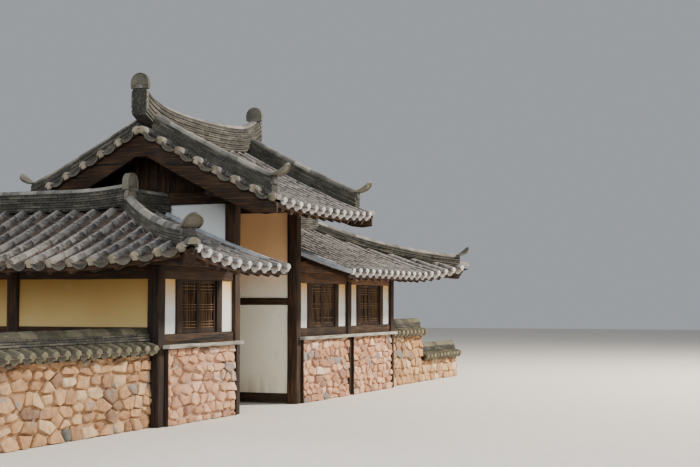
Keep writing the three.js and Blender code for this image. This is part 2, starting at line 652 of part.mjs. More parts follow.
function wingRafters() {
  const leftEave = LEFT_RIDGE_X - run;
  const back = YARD_END + REAR_VERGE;
  const leftSeats = [
    plateSeat([LEFT_END, LEFT_END], [FRONT - BEAM_END + HALF_POST, YARD_END]),
    plateSeat([LEFT_END, GATE_LEFT], [FRONT, FRONT]),
    plateSeat([LEFT_END, GATE_LEFT], [YARD_END, YARD_END]),
    plateSeat([GATE_LEFT, GATE_LEFT], [REAR, YARD_END]),
  ];
  raftersUnder("left_wing_rafters_street", leftRoof, {
    place: (x, inward) => [x, inward - run],
    alongs: pitched(GATE_LEFT - 2 * POST, leftEave, RAFTER.pitch),
    board: [leftEave + HIP_START.near, GATE_LEFT - face],
    hip: (x) => x - leftEave,
    extra: [hipBeam(leftRoof, leftRoof.corners[0])],
  }, leftSeats);
  raftersUnder("left_wing_rafters_side", leftRoof, {
    place: (y, inward) => [leftEave + inward, y],
    alongs: pitched(back - POST, -run, RAFTER.pitch),
    board: [-run + HIP_START.far, back - GAP],
    hip: (y) => y + run,
  }, leftSeats);
  raftersUnder("left_wing_rafters_court", leftRoof, {
    place: (y, inward) => [COURT_EAVE - inward, y],
    alongs: pitched(back - POST, COURT_EAVE - LEFT_RIDGE_X + POST / 2, RAFTER.pitch),
    board: [REAR + face, back - GAP],
    hip: () => COURT_EAVE - GATE_LEFT + 2 * POST,
  }, leftSeats);
  const ends = [RIGHT_END, RIGHT_END];
  const rightSeats = [
    plateSeat([GATE_RIGHT, RIGHT_END], [FRONT, FRONT]),
    plateSeat([GATE_RIGHT, RIGHT_END], [REAR, REAR]),
    plateSeat(ends, [FRONT - BEAM_END + HALF_POST, REAR + BEAM_END - HALF_POST]),
  ];
  const [streetCorner, yardCorner] = rightRoof.corners;
  for (const [name, side, corner] of [["street", -1, streetCorner], ["yard", 1, yardCorner]]) {
    raftersUnder("right_wing_rafters_" + name, rightRoof, {
      place: (x, inward) => [x, side * (run - inward)],
      alongs: pitched(GATE_RIGHT + 2 * POST, RIGHT_EAVE_X, RAFTER.pitch),
      board: [GATE_RIGHT + face, RIGHT_EAVE_X - HIP_START.near],
      hip: (x) => RIGHT_EAVE_X - x,
      extra: [hipBeam(rightRoof, corner)],
    }, rightSeats);
  }
  raftersUnder("right_wing_rafters_side", rightRoof, {
    place: (y, inward) => [RIGHT_EAVE_X - inward, y],
    alongs: pitched(-4 * RAFTER.pitch, 4 * RAFTER.pitch, RAFTER.pitch),
    board: [-run + HIP_START.far, run - HIP_START.far],
    hip: (y) => run - Math.abs(y),
  }, rightSeats);
}

function gateRafters() {
  for (const [name, side] of [["street", -1], ["yard", 1]]) {
    raftersUnder("gate_rafters_" + name, gateRoof, {
      place: (x, inward) => [x, side * (GATE_ROOF.run - inward)],
      alongs: pitched(-GATE_RAFTER_REACH, GATE_RAFTER_REACH, RAFTER.gatePitch),
      board: centred(2 * (BARGEBOARD.at - BARGEBOARD.thick)),
      size: RAFTER.gate,
    }, [...purlins(GAP), ...GATE_SIDES.map((line) => tie(line, GAP))]);
  }
}

// Tiled roofs and their ridges

// An arched end tile on a ridge. Its face looks to an angle from the X axis, and it may lean that way.
function crest(point, { width, thick, tall, lean }, facing) {
  const arch = new THREE.Shape();
  arch.moveTo(-width / 2, -RIDGE.sink);
  arch.lineTo(width / 2, -RIDGE.sink);
  arch.absarc(0, tall - width / 2, width / 2, 0, Math.PI, false);
  const options = { depth: thick, bevelEnabled: false, curveSegments: RIDGE_STEPS.arch };
  const shape = new THREE.ExtrudeGeometry(arch, options);
  shape.translate(0, 0, -thick / 2).rotateX(Math.PI / 2 + lean).rotateZ(facing + Math.PI / 2);
  return shape.translate(point.x, point.y, point.z);
}

// Points along a roof from one place to another, with an upturned end if there is a kick.
function ridgePath(roof, [x0, y0], [x1, y1], kick = 0) {
  return steps(RIDGE_STEPS.wing).map((s) => {
    const point = roof.point(x0 + s * (x1 - x0), y0 + s * (y1 - y0));
    return point.setZ(point.z + kick * Math.max(0, s * 4 - 3) ** 2);
  });
}

const raisedBy = (point, height) => point.clone().setZ(point.z + height);

function hipRidge(roof, [cx, cy, sx, sy]) {
  const reach = run * HIP_END;
  const apex = [cx - sx * run, cy - sy * run];
  const path = ridgePath(roof, apex, [apex[0] + sx * reach, apex[1] + sy * reach]);
  const end = crest(raisedBy(path.at(-1), RIDGE.hip - HORN.seat), HORN, Math.atan2(sy, sx));
  return [bar(path, RIDGE.hipWidth, RIDGE.sink, RIDGE.hip), end];
}

function wingRoofs() {
  const gateSide = box([GATE_LEFT - face, FAR], [-FAR, REAR + face], [0, FAR]);
  const court = box([COURT_EAVE, FAR], [-FAR, FAR], [0, FAR]);
  const front = box([-FAR, FAR], [-FAR, REAR + face], [0, FAR]);
  const back = box([-FAR, FAR], [REAR + face - GAP, FAR], [0, FAR]);
  add("left_wing_roof", "tile", cut(slabOf(leftRoof), gateSide, back));
  add("left_wing_back_roof", "tile", cut(slabOf(leftRoof), court, front));
  const apex = [LEFT_RIDGE_X, 0];
  const main = ridgePath(leftRoof, [LEFT_RIDGE_X, YARD_END + REAR_VERGE - 1], apex, KICK).reverse();
  const cross = ridgePath(leftRoof, [LEFT_RIDGE_X - 1, 0], [GATE_LEFT - face, 0]);
  const leftBodies = [
    ...[main, cross].map((path) => bar(path, RIDGE.width, RIDGE.sink, RIDGE.wing)),
    ...hipRidge(leftRoof, leftRoof.corners[0]),
    crest(raisedBy(main[0], RIDGE.wing), APEX_CREST, -Math.PI / 2),
  ];
  add("left_wing_ridges", "tile", cut(join(...leftBodies), massUnder(leftRoof), gateSide));
  add("right_wing_roof", "tile", slabOf(rightRoof));
  const right = ridgePath(rightRoof, [GATE_RIGHT + face, 0], [RIGHT_EAVE_X - run, 0], KICK);
  const hips = rightRoof.corners.flatMap((corner) => hipRidge(rightRoof, corner));
  const rightBodies = [bar(right, RIDGE.width, RIDGE.sink, RIDGE.wing), ...hips];
  add("right_wing_ridges", "tile", cut(join(...rightBodies), massUnder(rightRoof)));
}

function gateTop() {
  add("gate_roof", "tile", slabOf(gateRoof));
  const reach = GATE_VERGE - 1;
  const main = spread(-reach, reach, RIDGE_STEPS.gate).map((x) => {
    const rise = (RIDGE_RISE - GATE_ROOF.lift) * (x / reach) ** 2;
    return raisedBy(gateRoof.point(x, 0), rise + RIDGE_SWOOP.height * (x / reach) ** RIDGE_SWOOP.power);
  });
  const bodies = [bar(main, RIDGE.width, RIDGE.sink, RIDGE.gate)];
  for (const [x, facing] of [[-DESCENDING.at, Math.PI], [DESCENDING.at, 0]]) {
    for (const side of [-1, 1]) {
      const path = ridgePath(gateRoof, [x, side], [x, side * DESCENDING.end]);
      const tip = raisedBy(path.at(-1), RIDGE.descending - HORN.seat);
      bodies.push(bar(path, RIDGE.hipWidth, RIDGE.sink, RIDGE.descending));
      bodies.push(crest(tip, HORN, side * Math.PI / 2));
    }
    const end = x > 0 ? main.at(-1) : main[0];
    const seat = raisedBy(end, RIDGE.gate).setX(end.x - Math.sign(x) * GATE_CREST.thick / 2);
    bodies.push(crest(seat, GATE_CREST, facing));
  }
  add("gate_ridges", "tile", cut(join(...bodies), massUnder(gateRoof)));
}

// Street walls

function coping(name, xs, base) {
  const ys = [FENCE.front - FENCE.overhang, FENCE.front + FENCE.thick + FENCE.overhang];
  const top = around((ys[0] + ys[1]) / 2, FENCE.ridgeWidth);
  const [low, edge, shoulder] = [base + GAP, base + FENCE.eave, base + FENCE.eave + FENCE.rise];
  const outline = [
    [ys[0], low],
    [ys[1], low],
    [ys[1], edge],
    [top[1], shoulder],
    [top[1], shoulder + FENCE.ridge],
    [top[0], shoulder + FENCE.ridge],
    [top[0], shoulder],
    [ys[0], edge],
  ];
  add(name, "tile", plank(outline, xs));
}

function streetWalls() {
  const ys = [FENCE.front, FENCE.front + FENCE.thick];
  const left = [LEFT_FENCE_END, LEFT_END - face];
  const [high, low] = [[RIGHT_END + face, FENCE_STEP], [FENCE_STEP, RIGHT_FENCE_END]];
  add("left_street_wall", "stone", box(left, ys, [0, FENCE_TOP]));
  coping("left_street_wall_coping", left, FENCE_TOP);
  const highWall = box(high, ys, [0, FENCE_TOP]);
  const lowWall = box([low[0] - 1, low[1]], ys, [0, LOW_FENCE_TOP]);
  add("right_street_wall", "stone", join(highWall, lowWall));
  coping("right_street_wall_coping_high", high, FENCE_TOP);
  coping("right_street_wall_coping_low", [low[0] + GAP, low[1]], LOW_FENCE_TOP);
}

leftWing();
rightWing();
gateSide("gate_left", GATE_SIDES[0]);
gateSide("gate_right", GATE_SIDES[1]);
gateDoors();
gateRoofFrame();
bargeboards();
wingRafters();
gateRafters();
wingRoofs();
gateTop();
streetWalls();

export default house;
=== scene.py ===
"""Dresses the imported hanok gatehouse: tiled roofs, timbers, rubble, lattice and plaster, in metres."""
import logging
import math
import random
from collections.abc import Callable, Iterable, Sequence
from dataclasses import dataclass, field, replace
from enum import Enum

import bmesh
import bpy
from bmesh import ops
from mathutils import Euler, Matrix, Vector, noise


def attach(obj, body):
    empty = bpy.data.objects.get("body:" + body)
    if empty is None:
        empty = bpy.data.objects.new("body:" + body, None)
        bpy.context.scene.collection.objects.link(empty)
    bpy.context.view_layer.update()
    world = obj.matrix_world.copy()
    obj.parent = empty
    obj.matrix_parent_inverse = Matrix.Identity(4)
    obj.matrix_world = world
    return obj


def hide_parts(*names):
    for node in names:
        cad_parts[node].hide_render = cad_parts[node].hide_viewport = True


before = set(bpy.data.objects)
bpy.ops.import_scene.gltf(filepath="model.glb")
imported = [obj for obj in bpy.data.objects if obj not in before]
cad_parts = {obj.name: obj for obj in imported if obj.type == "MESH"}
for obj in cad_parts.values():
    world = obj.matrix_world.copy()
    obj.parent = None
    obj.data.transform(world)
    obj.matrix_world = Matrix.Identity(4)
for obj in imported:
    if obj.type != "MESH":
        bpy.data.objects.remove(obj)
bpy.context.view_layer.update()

LOG = logging.getLogger("gatehouse")
NOISE_SEED = 7

Range = tuple[float, float]
Plan = tuple[float, float]
Box = tuple[Range, Range, Range]
Colour = tuple[float, float, float]
Corner = tuple[float, float, float, float]
Trim = tuple[Plan, Plan]
Surface = Callable[[float, float], Vector]
Shape = bmesh.types.BMesh
Pattern = bpy.types.Mesh
Material = bpy.types.Material
Socket = bpy.types.NodeSocket

# The timber grid
BAY = 2.15
POST = 0.17
HALF_POST = POST / 2
CLEAR = BAY - POST
FRONT, REAR = -BAY / 2, BAY / 2
YARD_END = REAR + BAY
GATE_LEFT, GATE_RIGHT = -BAY / 2, BAY / 2
LEFT_END = GATE_LEFT - BAY
RIGHT_MIDDLE = GATE_RIGHT + BAY
RIGHT_END = RIGHT_MIDDLE + BAY
RIGHT_BAYS = (GATE_RIGHT + BAY / 2, RIGHT_MIDDLE + BAY / 2)
BACK_BAY = (REAR + YARD_END) / 2
GAP = 0.0003
FACE = HALF_POST + GAP
BEAM = 0.12
BEAM_END = 0.215
JAMB = 0.11
DOOR_WIDTH = 0.86
GATE_OPENING = BAY / 2 - HALF_POST - JAMB

# Heights
LEDGE_TOP = 1.045
SILL_TOP = 1.18
WINDOW_TOP = 1.89
PLATE: Range = (2.06, 2.24)
HEAD_BEAM: Range = (WINDOW_TOP, PLATE[0] + 0.001)
GROUND_BEAM: Range = (0.0, 0.16)
SIDE_RAIL: Range = (1.17, 1.27)
CROSS_BEAM: Range = (1.942, 2.056)
TIE: Range = (3.0, 3.17)

# Roofs
RUN = 2.05
LEFT_RIDGE_X = (LEFT_END + GATE_LEFT) / 2
LEFT_EAVE_X = LEFT_RIDGE_X - RUN
RIGHT_EAVE_X = RIGHT_END + 0.975
COURT_X = LEFT_RIDGE_X + RUN
COURT_EAVE_X = -0.575
BACK_Y = YARD_END + 0.3
GATE_RUN = 2.175
GATE_VERGE = 1.89
DESCENDING_X = 1.56
SLAB = 0.12


class Axis(Enum):
    """The way that a timber or a wall runs."""

    X = 0
    Y = 1
    Z = 2


# Materials


class Recipe:
    """Builds the nodes of one material from plain calls."""

    def __init__(self, name: str, roughness: float) -> None:
        """Starts a material.

        Args:
            name: The material's name.
            roughness: The shader's own roughness, where no pattern sets it.
        """
        self.material = bpy.data.materials.new(name)
        self.material.use_nodes = True
        self.tree = self.material.node_tree
        self.shader = self.tree.nodes["Principled BSDF"]
        self.shader.inputs["Roughness"].default_value = roughness
        self.shader.inputs["Specular IOR Level"].default_value = 0.3
        self.place = self.node("ShaderNodeTexCoord").outputs["Object"]

    def node(self, kind: str, **inputs: object) -> bpy.types.Node:
        """Adds a node.

        Args:
            kind: The node's type.
            inputs: Its inputs, with underscores for spaces.

        Returns:
            The new node.
        """
        made = self.tree.nodes.new(kind)
        for name, value in inputs.items():
            self.plug(made.inputs[name.replace("_", " ")], value)
        return made

    def plug(self, socket: Socket, value: object) -> None:
        """Links an output to a socket, or sets a plain value.

        Args:
            socket: The input to fill.
            value: Another node's output, or the value.
        """
        if isinstance(value, Socket):
            self.tree.links.new(value, socket)
        else:
            socket.default_value = value

    def stretched(self, scale: Colour) -> Socket:
        """Object coordinates scaled on each axis."""
        return self.node("ShaderNodeMapping", Vector=self.place, Scale=scale).outputs["Vector"]

    def noise(self, scale: float, detail: float = 4.0, at: Socket | None = None) -> Socket:
        """A soft noise from 0 to 1."""
        made = self.node("ShaderNodeTexNoise", Vector=at or self.place, Scale=scale, Detail=detail)
        return made.outputs["Fac"]

    def cells(self, scale: float) -> Socket:
        """The distance to the nearest point of a scatter."""
        return self.node("ShaderNodeTexVoronoi", Vector=self.place, Scale=scale).outputs["Distance"]

    def height(self) -> Socket:
        """The height of a point in the object's frame."""
        return self.node("ShaderNodeSeparateXYZ", Vector=self.place).outputs["Z"]

    def attribute(self, name: str) -> Socket:
        """A number that the mesh carries.

        Args:
            name: The attribute's name.

        Returns:
            Its value.
        """
        made = self.tree.nodes.new("ShaderNodeAttribute")
        made.attribute_name = name
        return made.outputs["Fac"]

    def ramp(self, value: Socket, stops: Sequence[tuple[float, Colour]]) -> Socket:
        """Colours along a value.

        Args:
            value: The value, from 0 to 1.
            stops: Places along it, each with its colour.

        Returns:
            The colour.
        """
        made = self.node("ShaderNodeValToRGB", Fac=value)
        elements = made.color_ramp.elements
        while len(elements) < len(stops):
            elements.new(0.5)
        for element, (position, colour) in zip(elements, stops):
            element.position = position
            element.color = (*colour, 1.0)
        return made.outputs["Color"]

    def levels(self, value: Socket, low: float, high: float, to: Range = (0.0, 1.0)) -> Socket:
        """A value stretched from one range to another and held there.

        Args:
            value: The value.
            low: Where the first range starts.
            high: Where it ends.
            to: The second range.

        Returns:
            The stretched value.
        """
        ends = {"From_Min": low, "From_Max": high, "To_Min": to[0], "To_Max": to[1]}
        return self.node("ShaderNodeMapRange", Value=value, **ends).outputs["Result"]

    def blend(self, share: object, first: object, second: object, mode: str = "MIX") -> Socket:
        """Two colours, mixed.

        Args:
            share: The share of the second.
            first: The colour below.
            second: The colour over it.
            mode: How they mix.

        Returns:
            The mixed colour.
        """
        made = self.tree.nodes.new("ShaderNodeMix")
        made.data_type = "RGBA"
        made.blend_type = mode
        self.plug(made.inputs["Factor"], share)
        for socket, colour in ((made.inputs[6], first), (made.inputs[7], second)):
            self.plug(socket, colour if isinstance(colour, Socket) else (*colour, 1.0))
        return made.outputs[2]

    def maths(self, operation: str, first: object, second: object) -> Socket:
        """Arithmetic on two values.

        Args:
            operation: The node's name for it.
            first: The first value.
            second: The second value.

        Returns:
            What it gives.
        """
        made = self.tree.nodes.new("ShaderNodeMath")
        made.operation = operation
        self.plug(made.inputs[0], first)
        self.plug(made.inputs[1], second)
        return made.outputs[0]

    def times(self, first: object, second: object) -> Socket:
        """One value times another."""
        return self.maths("MULTIPLY", first, second)

    def swing(self, value: Socket, width: float) -> Socket:
        """A value from 0 to 1, spread evenly about zero."""
        return self.times(self.maths("SUBTRACT", value, 0.5), width)

    def finish(
        self, colour: Socket, bumps: Iterable[tuple[Socket, float]], rough: Socket | None = None
    ) -> Material:
        """Links the colour, the bumps and the roughness.

        Args:
            colour: The base colour.
            bumps: Heights from 0 to 1, each with its depth in metres.
            rough: A pattern of roughness, if there is one.

        Returns:
            The finished material.
        """
        self.plug(self.shader.inputs["Base Color"], colour)
        if rough is not None:
            self.plug(self.shader.inputs["Roughness"], rough)
        normal = None
        for value, depth in bumps:
            bump = self.node("ShaderNodeBump", Height=value, Distance=depth, Strength=0.8)
            if normal is not None:
                self.plug(bump.inputs["Normal"], normal)
            normal = bump.outputs["Normal"]
        self.plug(self.shader.inputs["Normal"], normal)
        return self.material


@dataclass(frozen=True)
class TimberFinish:
    """Weathered timber with its grain along one axis."""

    name: str
    deep: Colour = (0.005, 0.003, 0.002)
    mid: Colour = (0.031, 0.0135, 0.0048)
    worn: Colour = (0.1, 0.053, 0.025)
    fibre: float = 46.0
    check: float = 24.0

    def make(self, grain: Axis) -> Material:
        """Builds the material.

        Args:
            grain: The way that its timbers run.

        Returns:
            The material.
        """
        mix = Recipe(f"{self.name}_{grain.name.lower()}", 0.8)
        fibres, checks = (
            mix.noise(scale, detail, mix.stretched(tuple(drawn if axis is grain else 1.0 for axis in Axis)))
            for scale, detail, drawn in ((self.fibre, 6.0, 0.06), (self.check, 3.0, 0.03))
        )
        crack = mix.levels(checks, 0.34, 0.4)
        value = mix.maths("ADD", fibres, mix.swing(mix.attribute("tone"), 0.35))
        wood = mix.ramp(value, [(0.3, self.deep), (0.52, self.mid), (0.8, self.worn)])
        patches = mix.levels(mix.noise(2.6, 3.0), 0.52, 0.75)
        faded = mix.blend(mix.times(patches, 0.35), wood, self.worn)
        colour = mix.blend(crack, self.deep, faded)
        rough = mix.levels(fibres, 0.2, 0.8, (0.62, 0.9))
        return mix.finish(colour, [(fibres, 0.0025), (crack, 0.003)], rough)


@dataclass(frozen=True)
class PlasterFinish:
    """Lime plaster: a painted shade of ochre where the eaves shade it, standing for that shade lit warm by
    bounce light; white below, and stained at its foot.
    """

    name: str
    white: Colour = (0.8, 0.81, 0.8)
    cream: Colour = (0.76, 0.73, 0.66)
    # the ochre of the painted shade, for eave shade lit warm by bounce light
    painted_shade_ochre: Colour = (0.70, 0.42, 0.14)
    stain: Colour = (0.42, 0.30, 0.18)
    # the heights over which the painted shade fades in; none leaves it out
    shaded: Range | None = (1.52, 1.88)
    foot: Range = (0.5, 0.12)

    def make(self) -> Material:
        """Builds the material.

        Returns:
            The material.
        """
        mix = Recipe(self.name, 0.9)
        clouds = mix.levels(mix.noise(1.3, 5.0), 0.42, 0.72)
        colour = mix.blend(clouds, self.white, self.cream)
        # Painted shade: from the low height of shaded to its high one the colour turns to the ochre, with a
        # noisy edge.
        if self.shaded:
            level = mix.maths("ADD", mix.height(), mix.swing(mix.noise(1.7, 2.0), 0.25))
            colour = mix.blend(mix.levels(level, *self.shaded), colour, self.painted_shade_ochre)
        streaks = mix.noise(3.0, 4.0, mix.stretched((3.0, 3.0, 0.35)))
        dirt = mix.times(mix.levels(mix.height(), *self.foot), mix.levels(streaks, 0.35, 0.7))
        colour = mix.blend(mix.times(dirt, 0.7), colour, self.stain)
        marks = mix.levels(mix.noise(7.0, 6.0), 0.62, 0.75)
        colour = mix.blend(mix.times(marks, 0.2), colour, self.stain)
        trowel = mix.noise(5.0, 3.0)
        grit = mix.noise(160.0, 2.0)
        return mix.finish(colour, [(trowel, 0.01), (grit, 0.0012)])


@dataclass(frozen=True)
class StoneFinish:
    """Fieldstone of many warm tones, with blue-grey patches."""

    name: str
    tint: Colour
    stops: tuple[tuple[float, Colour], ...] = (
        (0.0, (0.17, 0.18, 0.18)),
        (0.04, (0.30, 0.27, 0.24)),
        (0.12, (0.30, 0.18, 0.12)),
        (0.3, (0.46, 0.25, 0.13)),
        (0.55, (0.60, 0.36, 0.20)),
        (0.8, (0.68, 0.46, 0.28)),
        (1.0, (0.74, 0.58, 0.42)),
    )
    shade: Colour = (0.40, 0.25, 0.17)
    slate: Colour = (0.22, 0.24, 0.24)
    lichen: Colour = (0.70, 0.58, 0.43)

    def make(self) -> Material:
        """Builds the material.

        Returns:
            The material.
        """
        mix = Recipe(self.name, 0.88)
        base = mix.ramp(mix.attribute("tone"), self.stops)
        base = mix.blend(1.0, base, self.tint, "MULTIPLY")
        clouds = mix.levels(mix.noise(11.0, 5.0), 0.42, 0.72)
        base = mix.blend(mix.times(clouds, 0.5), base, self.shade, "MULTIPLY")
        patches = mix.levels(mix.noise(2.7, 3.0), 0.58, 0.66)
        mottle = mix.times(patches, mix.levels(mix.noise(19.0, 5.0), 0.44, 0.56))
        base = mix.blend(mix.times(mottle, 0.8), base, self.slate)
        spots = mix.levels(mix.noise(16.0, 6.0), 0.6, 0.72)
        base = mix.blend(mix.times(spots, 0.3), base, self.lichen)
        specks = mix.levels(mix.cells(190.0), 0.12, 0.3)
        colour = mix.blend(mix.maths("SUBTRACT", 1.0, specks), base, self.shade, "MULTIPLY")
        faces = mix.noise(14.0, 5.0)
        grit = mix.noise(120.0, 3.0)
        return mix.finish(colour, [(faces, 0.02), (grit, 0.002)])


@dataclass(frozen=True)
class ClayFinish:
    """A matt mineral finish of two tones, for mortar and earth."""

    name: str
    light: Colour
    dark: Colour
    grain: float = 60.0
    relief: float = 0.004

    def make(self) -> Material:
        """Builds the material.

        Returns:
            The material.
        """
        mix = Recipe(self.name, 0.93)
        clouds = mix.levels(mix.noise(6.0, 6.0), 0.35, 0.68)
        base = mix.blend(clouds, self.light, self.dark)
        grit = mix.noise(self.grain, 4.0)
        colour = mix.blend(mix.levels(grit, 0.55, 0.7, (0.0, 0.35)), base, self.dark)
        return mix.finish(colour, [(grit, self.relief)])


@dataclass(frozen=True)
class TileFinish:
    """Weathered fired clay: each tile has its tone, its lower edge is worn pale, and the crown of a convex
    tile is paled too, as a painted highlight.
    """

    name: str
    dark: Colour
    mid: Colour
    pale: Colour
    dust: Colour
    dusty: float = 0.4
    # how strongly the edge attribute pales the tile: wear at the lower ends, and a painted highlight on
    # convex crowns
    wear_and_highlight: float = 0.6

    def make(self) -> Material:
        """Builds the material.

        Returns:
            The material.
        """
        mix = Recipe(self.name, 0.82)
        clouds = mix.times(mix.noise(5.0, 6.0), 0.55)
        value = mix.maths("ADD", clouds, mix.times(mix.attribute("tone"), 0.5))
        base = mix.ramp(value, [(0.25, self.dark), (0.52, self.mid), (0.82, self.pale)])
        lichen = mix.levels(mix.noise(34.0, 6.0), 0.56, 0.7)
        base = mix.blend(mix.times(lichen, self.dusty), base, self.dust)
        # The edge attribute pales the colour: at the tiles' lower ends as wear, and on convex crowns as a
        # painted highlight.
        edge = mix.times(mix.attribute("edge"), mix.levels(mix.noise(22.0, 4.0), 0.3, 0.6))
        base = mix.blend(mix.times(edge, self.wear_and_highlight), base, self.pale)
        grit = mix.noise(110.0, 3.0)
        return mix.finish(base, [(mix.noise(18.0, 4.0), 0.005), (grit, 0.0012)])


WOODS = (
    TimberFinish("dark_timber"),
    TimberFinish("door_planks", (0.02, 0.012, 0.008), (0.065, 0.038, 0.024), (0.17, 0.11, 0.07)),
    TimberFinish("lattice_bars", (0.012, 0.006, 0.004), (0.042, 0.019, 0.008), (0.19, 0.112, 0.055)),
    # warm_timber: an orange copy of the dark timber, painting the warm bounce light under the right wing's
    # street eave; that wall's head beam and plate and the cross beam wear it.
    TimberFinish("warm_timber", (0.03, 0.012, 0.005), (0.1, 0.042, 0.015), (0.21, 0.1, 0.045)),
)
LEDGE_BOARDS = TimberFinish("ledge_boards", (0.13, 0.11, 0.09), (0.31, 0.285, 0.24), (0.45, 0.42, 0.36))
SAWN_END = TimberFinish("sawn_end", (0.16, 0.075, 0.045), (0.3, 0.16, 0.105), (0.42, 0.26, 0.18))
MINERALS = (
    PlasterFinish("lime_plaster"),
    # warm_plaster, on the left wing's side wall: all its tones are dark, warm ochre, a painted shade of that
    # wall lit warm by bounce light, and the ochre deepens from 1.2 m up as painted eave shade.
    PlasterFinish(
        "warm_plaster", (0.46, 0.345, 0.145), (0.41, 0.29, 0.11), (0.36, 0.19, 0.04), shaded=(1.2, 2.0)
    ),
    # porch_plaster, in the gate's porch: its ochre from about 1.6 m up is painted shade under the gate roof,
    # lit warm by bounce light, and its cream below is paler than plain plaster as painted light.
    PlasterFinish(
        "porch_plaster", (0.92, 0.87, 0.72), (0.86, 0.78, 0.6), (0.74, 0.45, 0.23), shaded=(1.6, 2.25)
    ),
    # white_plaster, on the gate's left side wall: its cool blue-grey, darker than plain plaster, is painted
    # shade lit by the sky.
    PlasterFinish("white_plaster", (0.62, 0.65, 0.66), (0.58, 0.58, 0.54), shaded=None),
    StoneFinish("tan_fieldstone", (0.92, 0.92, 0.83)),
    StoneFinish("pink_fieldstone", (1.03, 0.99, 1.06)),
    ClayFinish("sandy_mortar", (0.50, 0.31, 0.17), (0.30, 0.17, 0.09), 45.0, 0.012),
    ClayFinish("pinkish_mortar", (0.60, 0.39, 0.27), (0.40, 0.24, 0.155), 45.0, 0.012),
    ClayFinish("packed_earth", (0.40, 0.28, 0.19), (0.24, 0.16, 0.1)),
    ClayFinish("lime_mortar", (0.67, 0.65, 0.62), (0.38, 0.355, 0.32), 40.0),
    ClayFinish("weathered_mortar", (0.35, 0.29, 0.21), (0.12, 0.1, 0.07), 40.0, 0.005),
    ClayFinish("mossy_mortar", (0.27, 0.235, 0.15), (0.09, 0.08, 0.045), 40.0, 0.005),
    # barrel_tile: its last number is high, so the worn lower ends show pale and every crown gets a strong
    # painted highlight.
    TileFinish(
        "barrel_tile", (0.012, 0.012, 0.013), (0.04, 0.038, 0.038), (0.29, 0.262, 0.235), (0.15, 0.13, 0.105),
        dusty=0.3, wear_and_highlight=0.95,
    ),
    TileFinish(
        "channel_tile", (0.014, 0.010, 0.009), (0.05, 0.035, 0.029), (0.15, 0.11, 0.085), (0.22, 0.15, 0.11),
        dusty=0.6,
    ),
    TileFinish(
        "ridge_tile", (0.02, 0.019, 0.016), (0.065, 0.06, 0.048), (0.19, 0.17, 0.13), (0.19, 0.18, 0.12),
        dusty=0.5,
    ),
    TileFinish(
        "mossy_tile", (0.018, 0.016, 0.011), (0.052, 0.045, 0.027), (0.15, 0.132, 0.085), (0.12, 0.115, 0.06),
        dusty=0.7,
    ),
    TileFinish(
        "cap_tile", (0.03, 0.029, 0.028), (0.1, 0.094, 0.085), (0.3, 0.275, 0.235), (0.24, 0.23, 0.18),
        dusty=0.5,
    ),
    TileFinish("lip_tile", (0.06, 0.056, 0.052), (0.16, 0.15, 0.14), (0.42, 0.4, 0.38), (0.3, 0.28, 0.25)),
    TileFinish(
        "pale_barrel_tile", (0.1, 0.105, 0.115), (0.25, 0.265, 0.285), (0.5, 0.515, 0.54), (0.42, 0.4, 0.37)
    ),
)


class Finishes:
    """Every finish of the house, made once."""

    def __init__(self) -> None:
        """Builds the materials."""
        woods = [[wood.make(grain) for grain in Axis] for wood in WOODS]
        # warm holds the orange timber that paints warm bounce light.
        self.timber, self.door, self.lattice, self.warm = woods
        self.made = {finish.name: finish.make() for finish in MINERALS}
        self.made["ledge_boards"] = LEDGE_BOARDS.make(Axis.X)
        self.made["sawn_end"] = SAWN_END.make(Axis.Z)

    def __getitem__(self, name: str) -> Material:
        """A material by its name."""
        return self.made[name]


# Meshes


def centred(width: float) -> Range:
    """A range about zero."""
    return (-width / 2, width / 2)


def around(middle: float, width: float) -> Range:
    """A range about a place."""
    return (middle - width / 2, middle + width / 2)


def upward(height: float) -> Vector:
    """A step straight up."""
    return Vector((0.0, 0.0, height))


def quarter(axis: str, way: float = 1.0) -> Matrix:
    """A quarter turn about an axis."""
    return Matrix.Rotation(way * math.pi / 2, 4, axis)


def cut(mesh: Shape, point: Vector, normal: Vector, clear: bool = False) -> list[bmesh.types.BMEdge]:
    """Cuts a mesh by a plane.

    Args:
        mesh: The mesh to cut.
        point: A point of the plane.
        normal: The plane's normal.
        clear: Whether what lies on the normal's side goes.

    Returns:
        The edges in the plane.
    """
    parts = [*mesh.verts, *mesh.edges, *mesh.faces]
    done = ops.bisect_plane(mesh, geom=parts, dist=1e-6, plane_co=point, plane_no=normal, clear_outer=clear)
    return [part for part in done["geom_cut"] if isinstance(part, bmesh.types.BMEdge)]


def cut_off(mesh: Shape, point: Vector, normal: Vector) -> None:
    """Cuts away what lies beyond a plane, and closes what is left."""
    ops.holes_fill(mesh, edges=cut(mesh, point, normal, clear=True), sides=0)


def rounded(
    mesh: Shape, parts: list, width: float, segments: int, affect: str = "EDGES", clamp: bool = False
) -> None:
    """Rounds edges or corners of a mesh.

    Args:
        mesh: The mesh to change.
        parts: The edges or vertices.
        width: How far the rounding reaches.
        segments: Its steps.
        affect: Which of the two they are.
        clamp: Whether neighbours hold the rounding back.
    """
    ops.bevel(
        mesh, geom=parts, offset=width, segments=segments, profile=0.5, affect=affect, material=-1,
        clamp_overlap=clamp,
    )


